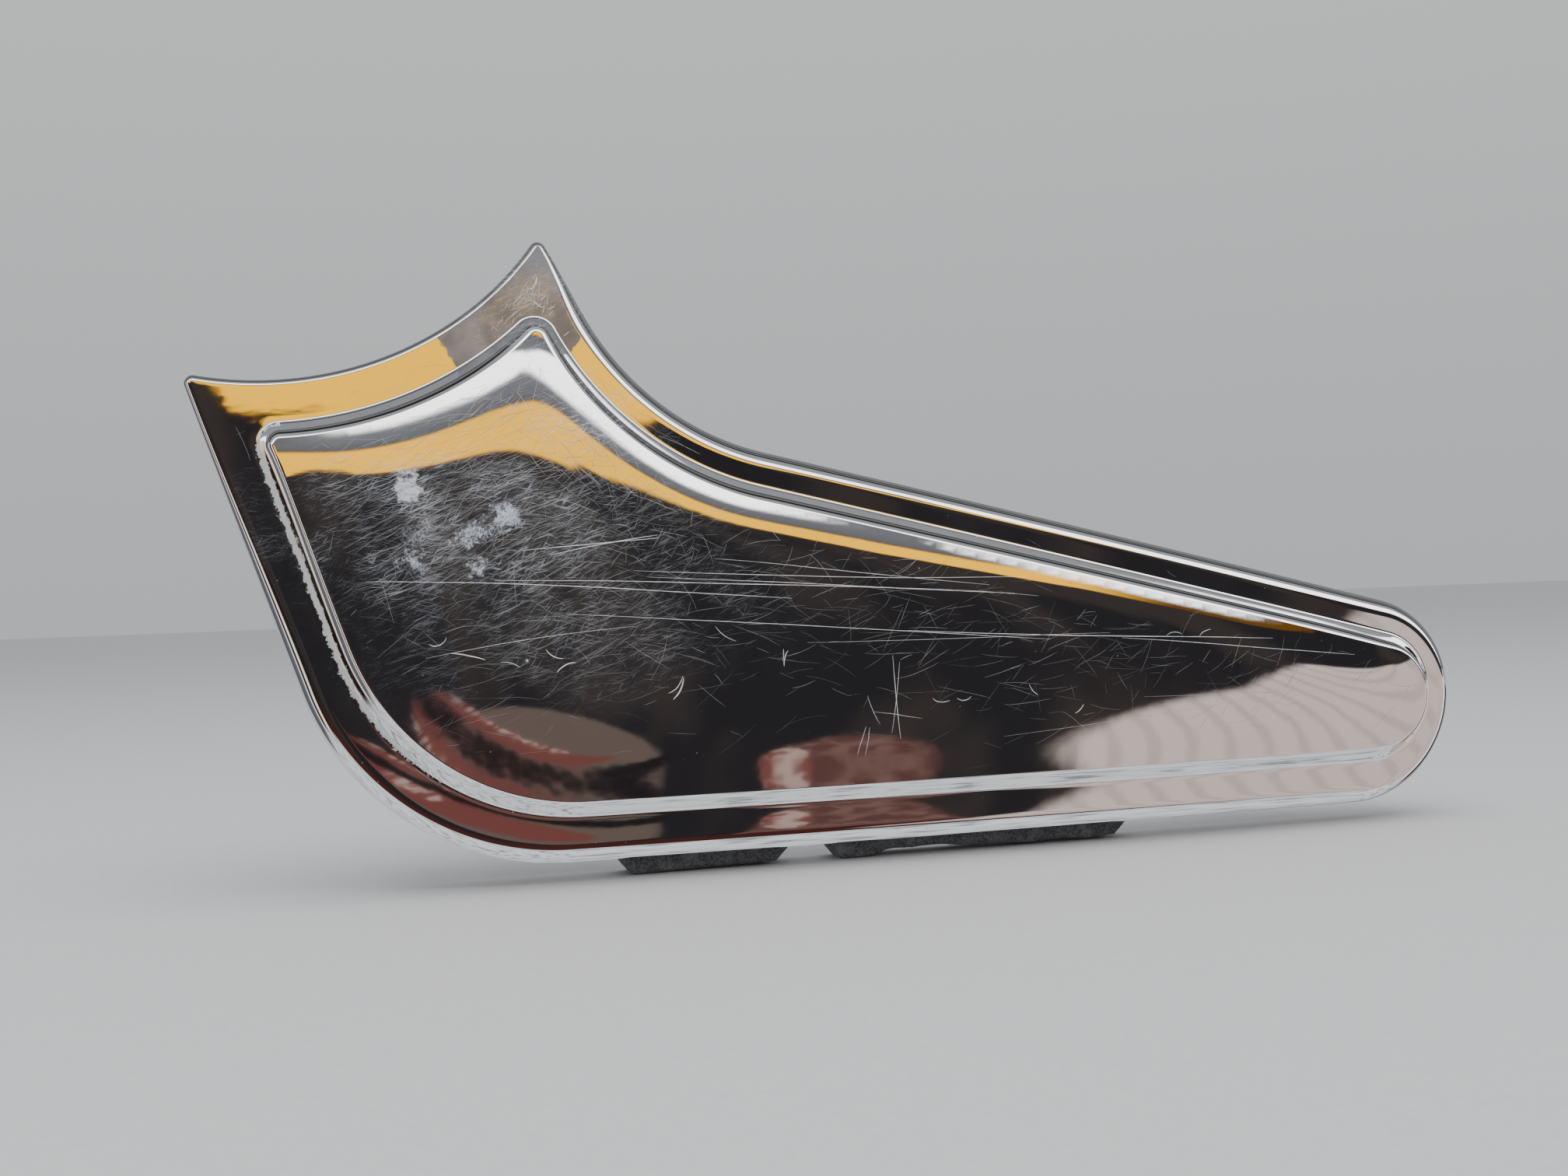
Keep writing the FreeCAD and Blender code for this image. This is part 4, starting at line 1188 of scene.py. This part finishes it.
def make_world():
    """Soft even light, a pale backdrop, and for reflections a dark room under a bright ceiling
    with an amber board, a pale pink wall on the right and a bright floor."""
    world = bpy.data.worlds.new("studio")
    bpy.context.scene.world = world
    world.use_nodes = True
    n = Nodes(world.node_tree)
    way = n.add("TexCoord", out="Generated")
    x, y, z = (n.add("SeparateXYZ", out=axis, Vector=way) for axis in "XYZ")
    drift = (n.noise(way, 6.0, 3.0) * 3.0 + -1.5) * z.step(-0.25, -0.1)
    ahead = y * -1.0
    rise, turn = (n.math("ARCTAN2", side, ahead) * math.degrees(1) for side in (z, x))
    boards = n.noise(n.add("Mapping", Vector=way, Scale=(9.0, 9.0, 1.2)), 1.0)
    front = room_in_front(n, x, rise + drift, boards)

    diagonal = {"bands_direction": "DIAGONAL"}
    folds = n.add("TexWave", diagonal, "Fac", Vector=way, Scale=13.0, Distortion=1.0)
    pink = n.mix(folds.step(0.55, 1.0) * 0.38, (0.8, 0.665, 0.6), (0.4, 0.32, 0.29))
    beside = arc_ramp(n, turn, [
        (-179, (0.15, 0.16, 0.17)), (-120, (0.11, 0.12, 0.135)), (-98, (0.17, 0.185, 0.21)),
        (-94, (1.1, 1.1, 1.15)), (-90, (1.1, 1.1, 1.15)), (-87, 0.04), (-75, 0.03),
        (-72, (1.7, 1.35, 1.1)), (-62, (1.3, 0.95, 0.75)), (-59, (0.02, 0.017, 0.015)),
        (60, (0.02, 0.017, 0.015)), (77, (0.02, 0.017, 0.015)), (79, (1.6, 1.45, 1.45)),
        (93, (1.3, 1.2, 1.2)), (95, 0.03), (112, 0.03), (116, (0.34, 0.35, 0.36)),
        (179, (0.25, 0.25, 0.26)),
    ])
    beside = n.mix(turn.step(20.0, 21.0) * turn.step(77.0, 76.0), beside, pink)
    lean = z * -1.0 + (drift * 0.004 + x)
    steeper = (z * -0.39 + x).step(0.673, 0.689)
    to_right = most([lean.step(0.82, 0.85), steeper]) * z.step(-0.062, -0.086)
    to_left = x.step(-0.62, -0.7) * z.step(0.42, 0.34)
    mirrored = n.mix(most([to_right, to_left]) * z.step(-0.62, -0.52), front, beside)

    soft = n.mix(z.step(-0.3, 0.8), (0.42, 0.42, 0.43), (0.95, 0.95, 0.96))
    seen = n.mix(z.step(-0.1, 0.6), (0.52, 0.53, 0.545), (0.72, 0.73, 0.74))
    glossy, direct = (n.add("LightPath", out=f"Is {ray} Ray") for ray in ("Glossy", "Camera"))
    light = n.mix(direct, n.mix(glossy, soft, mirrored), seen)
    n.output(n.add("Background", Color=light, Strength=1.0), "OutputWorld")


def make_floor():
    """A plain pale floor under the cover's lowest point. Mirrors don't see it."""
    half, low = 3.0, CAD_BOX[0].z
    corners = [(x, y, low) for x, y in ((-half, -half), (half, -half), (half, half), (-half, half))]
    mesh = bpy.data.meshes.new("floor")
    mesh.from_pydata(corners, [], [(0, 1, 2, 3)])
    material, n, where = new_material("floor")
    color = n.mix(n.noise(where, 900.0, 4.0), (0.46, 0.47, 0.485), (0.53, 0.54, 0.55))
    n.output(n.surface(color, 0.75))
    mesh.materials.append(material)
    floor = attach("floor", mesh)
    floor.visible_glossy = False


def stand(piece, at, way, roll=0.0):
    """Puts a lamp or a camera at a place and turns it to look along a way."""
    piece.location = at
    piece.rotation_mode = "QUATERNION"
    piece.rotation_quaternion = way.to_track_quat("-Z", "Y") @ Quaternion((0, 0, 1), roll)


def make_lights():
    """One large soft lamp overhead and in front."""
    lamp = bpy.data.lights.new("overhead", "AREA")
    lamp.shape, lamp.size, lamp.size_y = "RECTANGLE", 0.9, 0.6
    lamp.energy = 7.0
    overhead = attach("overhead", lamp)
    at = Vector((0.0, -0.25, 0.75))
    stand(overhead, at, Vector((0.06, 0.0, 0.0)) - at)
    overhead.visible_glossy = False


def make_camera():
    """The camera: a little to the left of square on, close, and rolled slightly."""
    target = Vector((0.0434, -0.009, 0.0103))
    turn, away, roll = math.radians(15.0), 0.268, math.radians(-1.97)
    data = bpy.data.cameras.new("camera")
    data.lens, data.sensor_width = 39.55, 36.0
    data.clip_start = 0.01
    camera = attach("camera", data)
    back = Vector((-math.sin(turn), -math.cos(turn), 0))
    stand(camera, target + back * away, -back, roll)
    bpy.context.scene.camera = camera


def main():
    make_world()
    make_floor()
    make_lights()
    make_camera()
    looks = make_looks()
    shell = build_shell(looks["front"], looks["back"])
    declare(shell, "trim_shell")
    make_ribs(looks["back"])
    make_scratches(looks["scratch"])
    for name, center in STUDS.items():
        make_hardware(name, center, looks)
    make_foams(looks["foam"])


main()
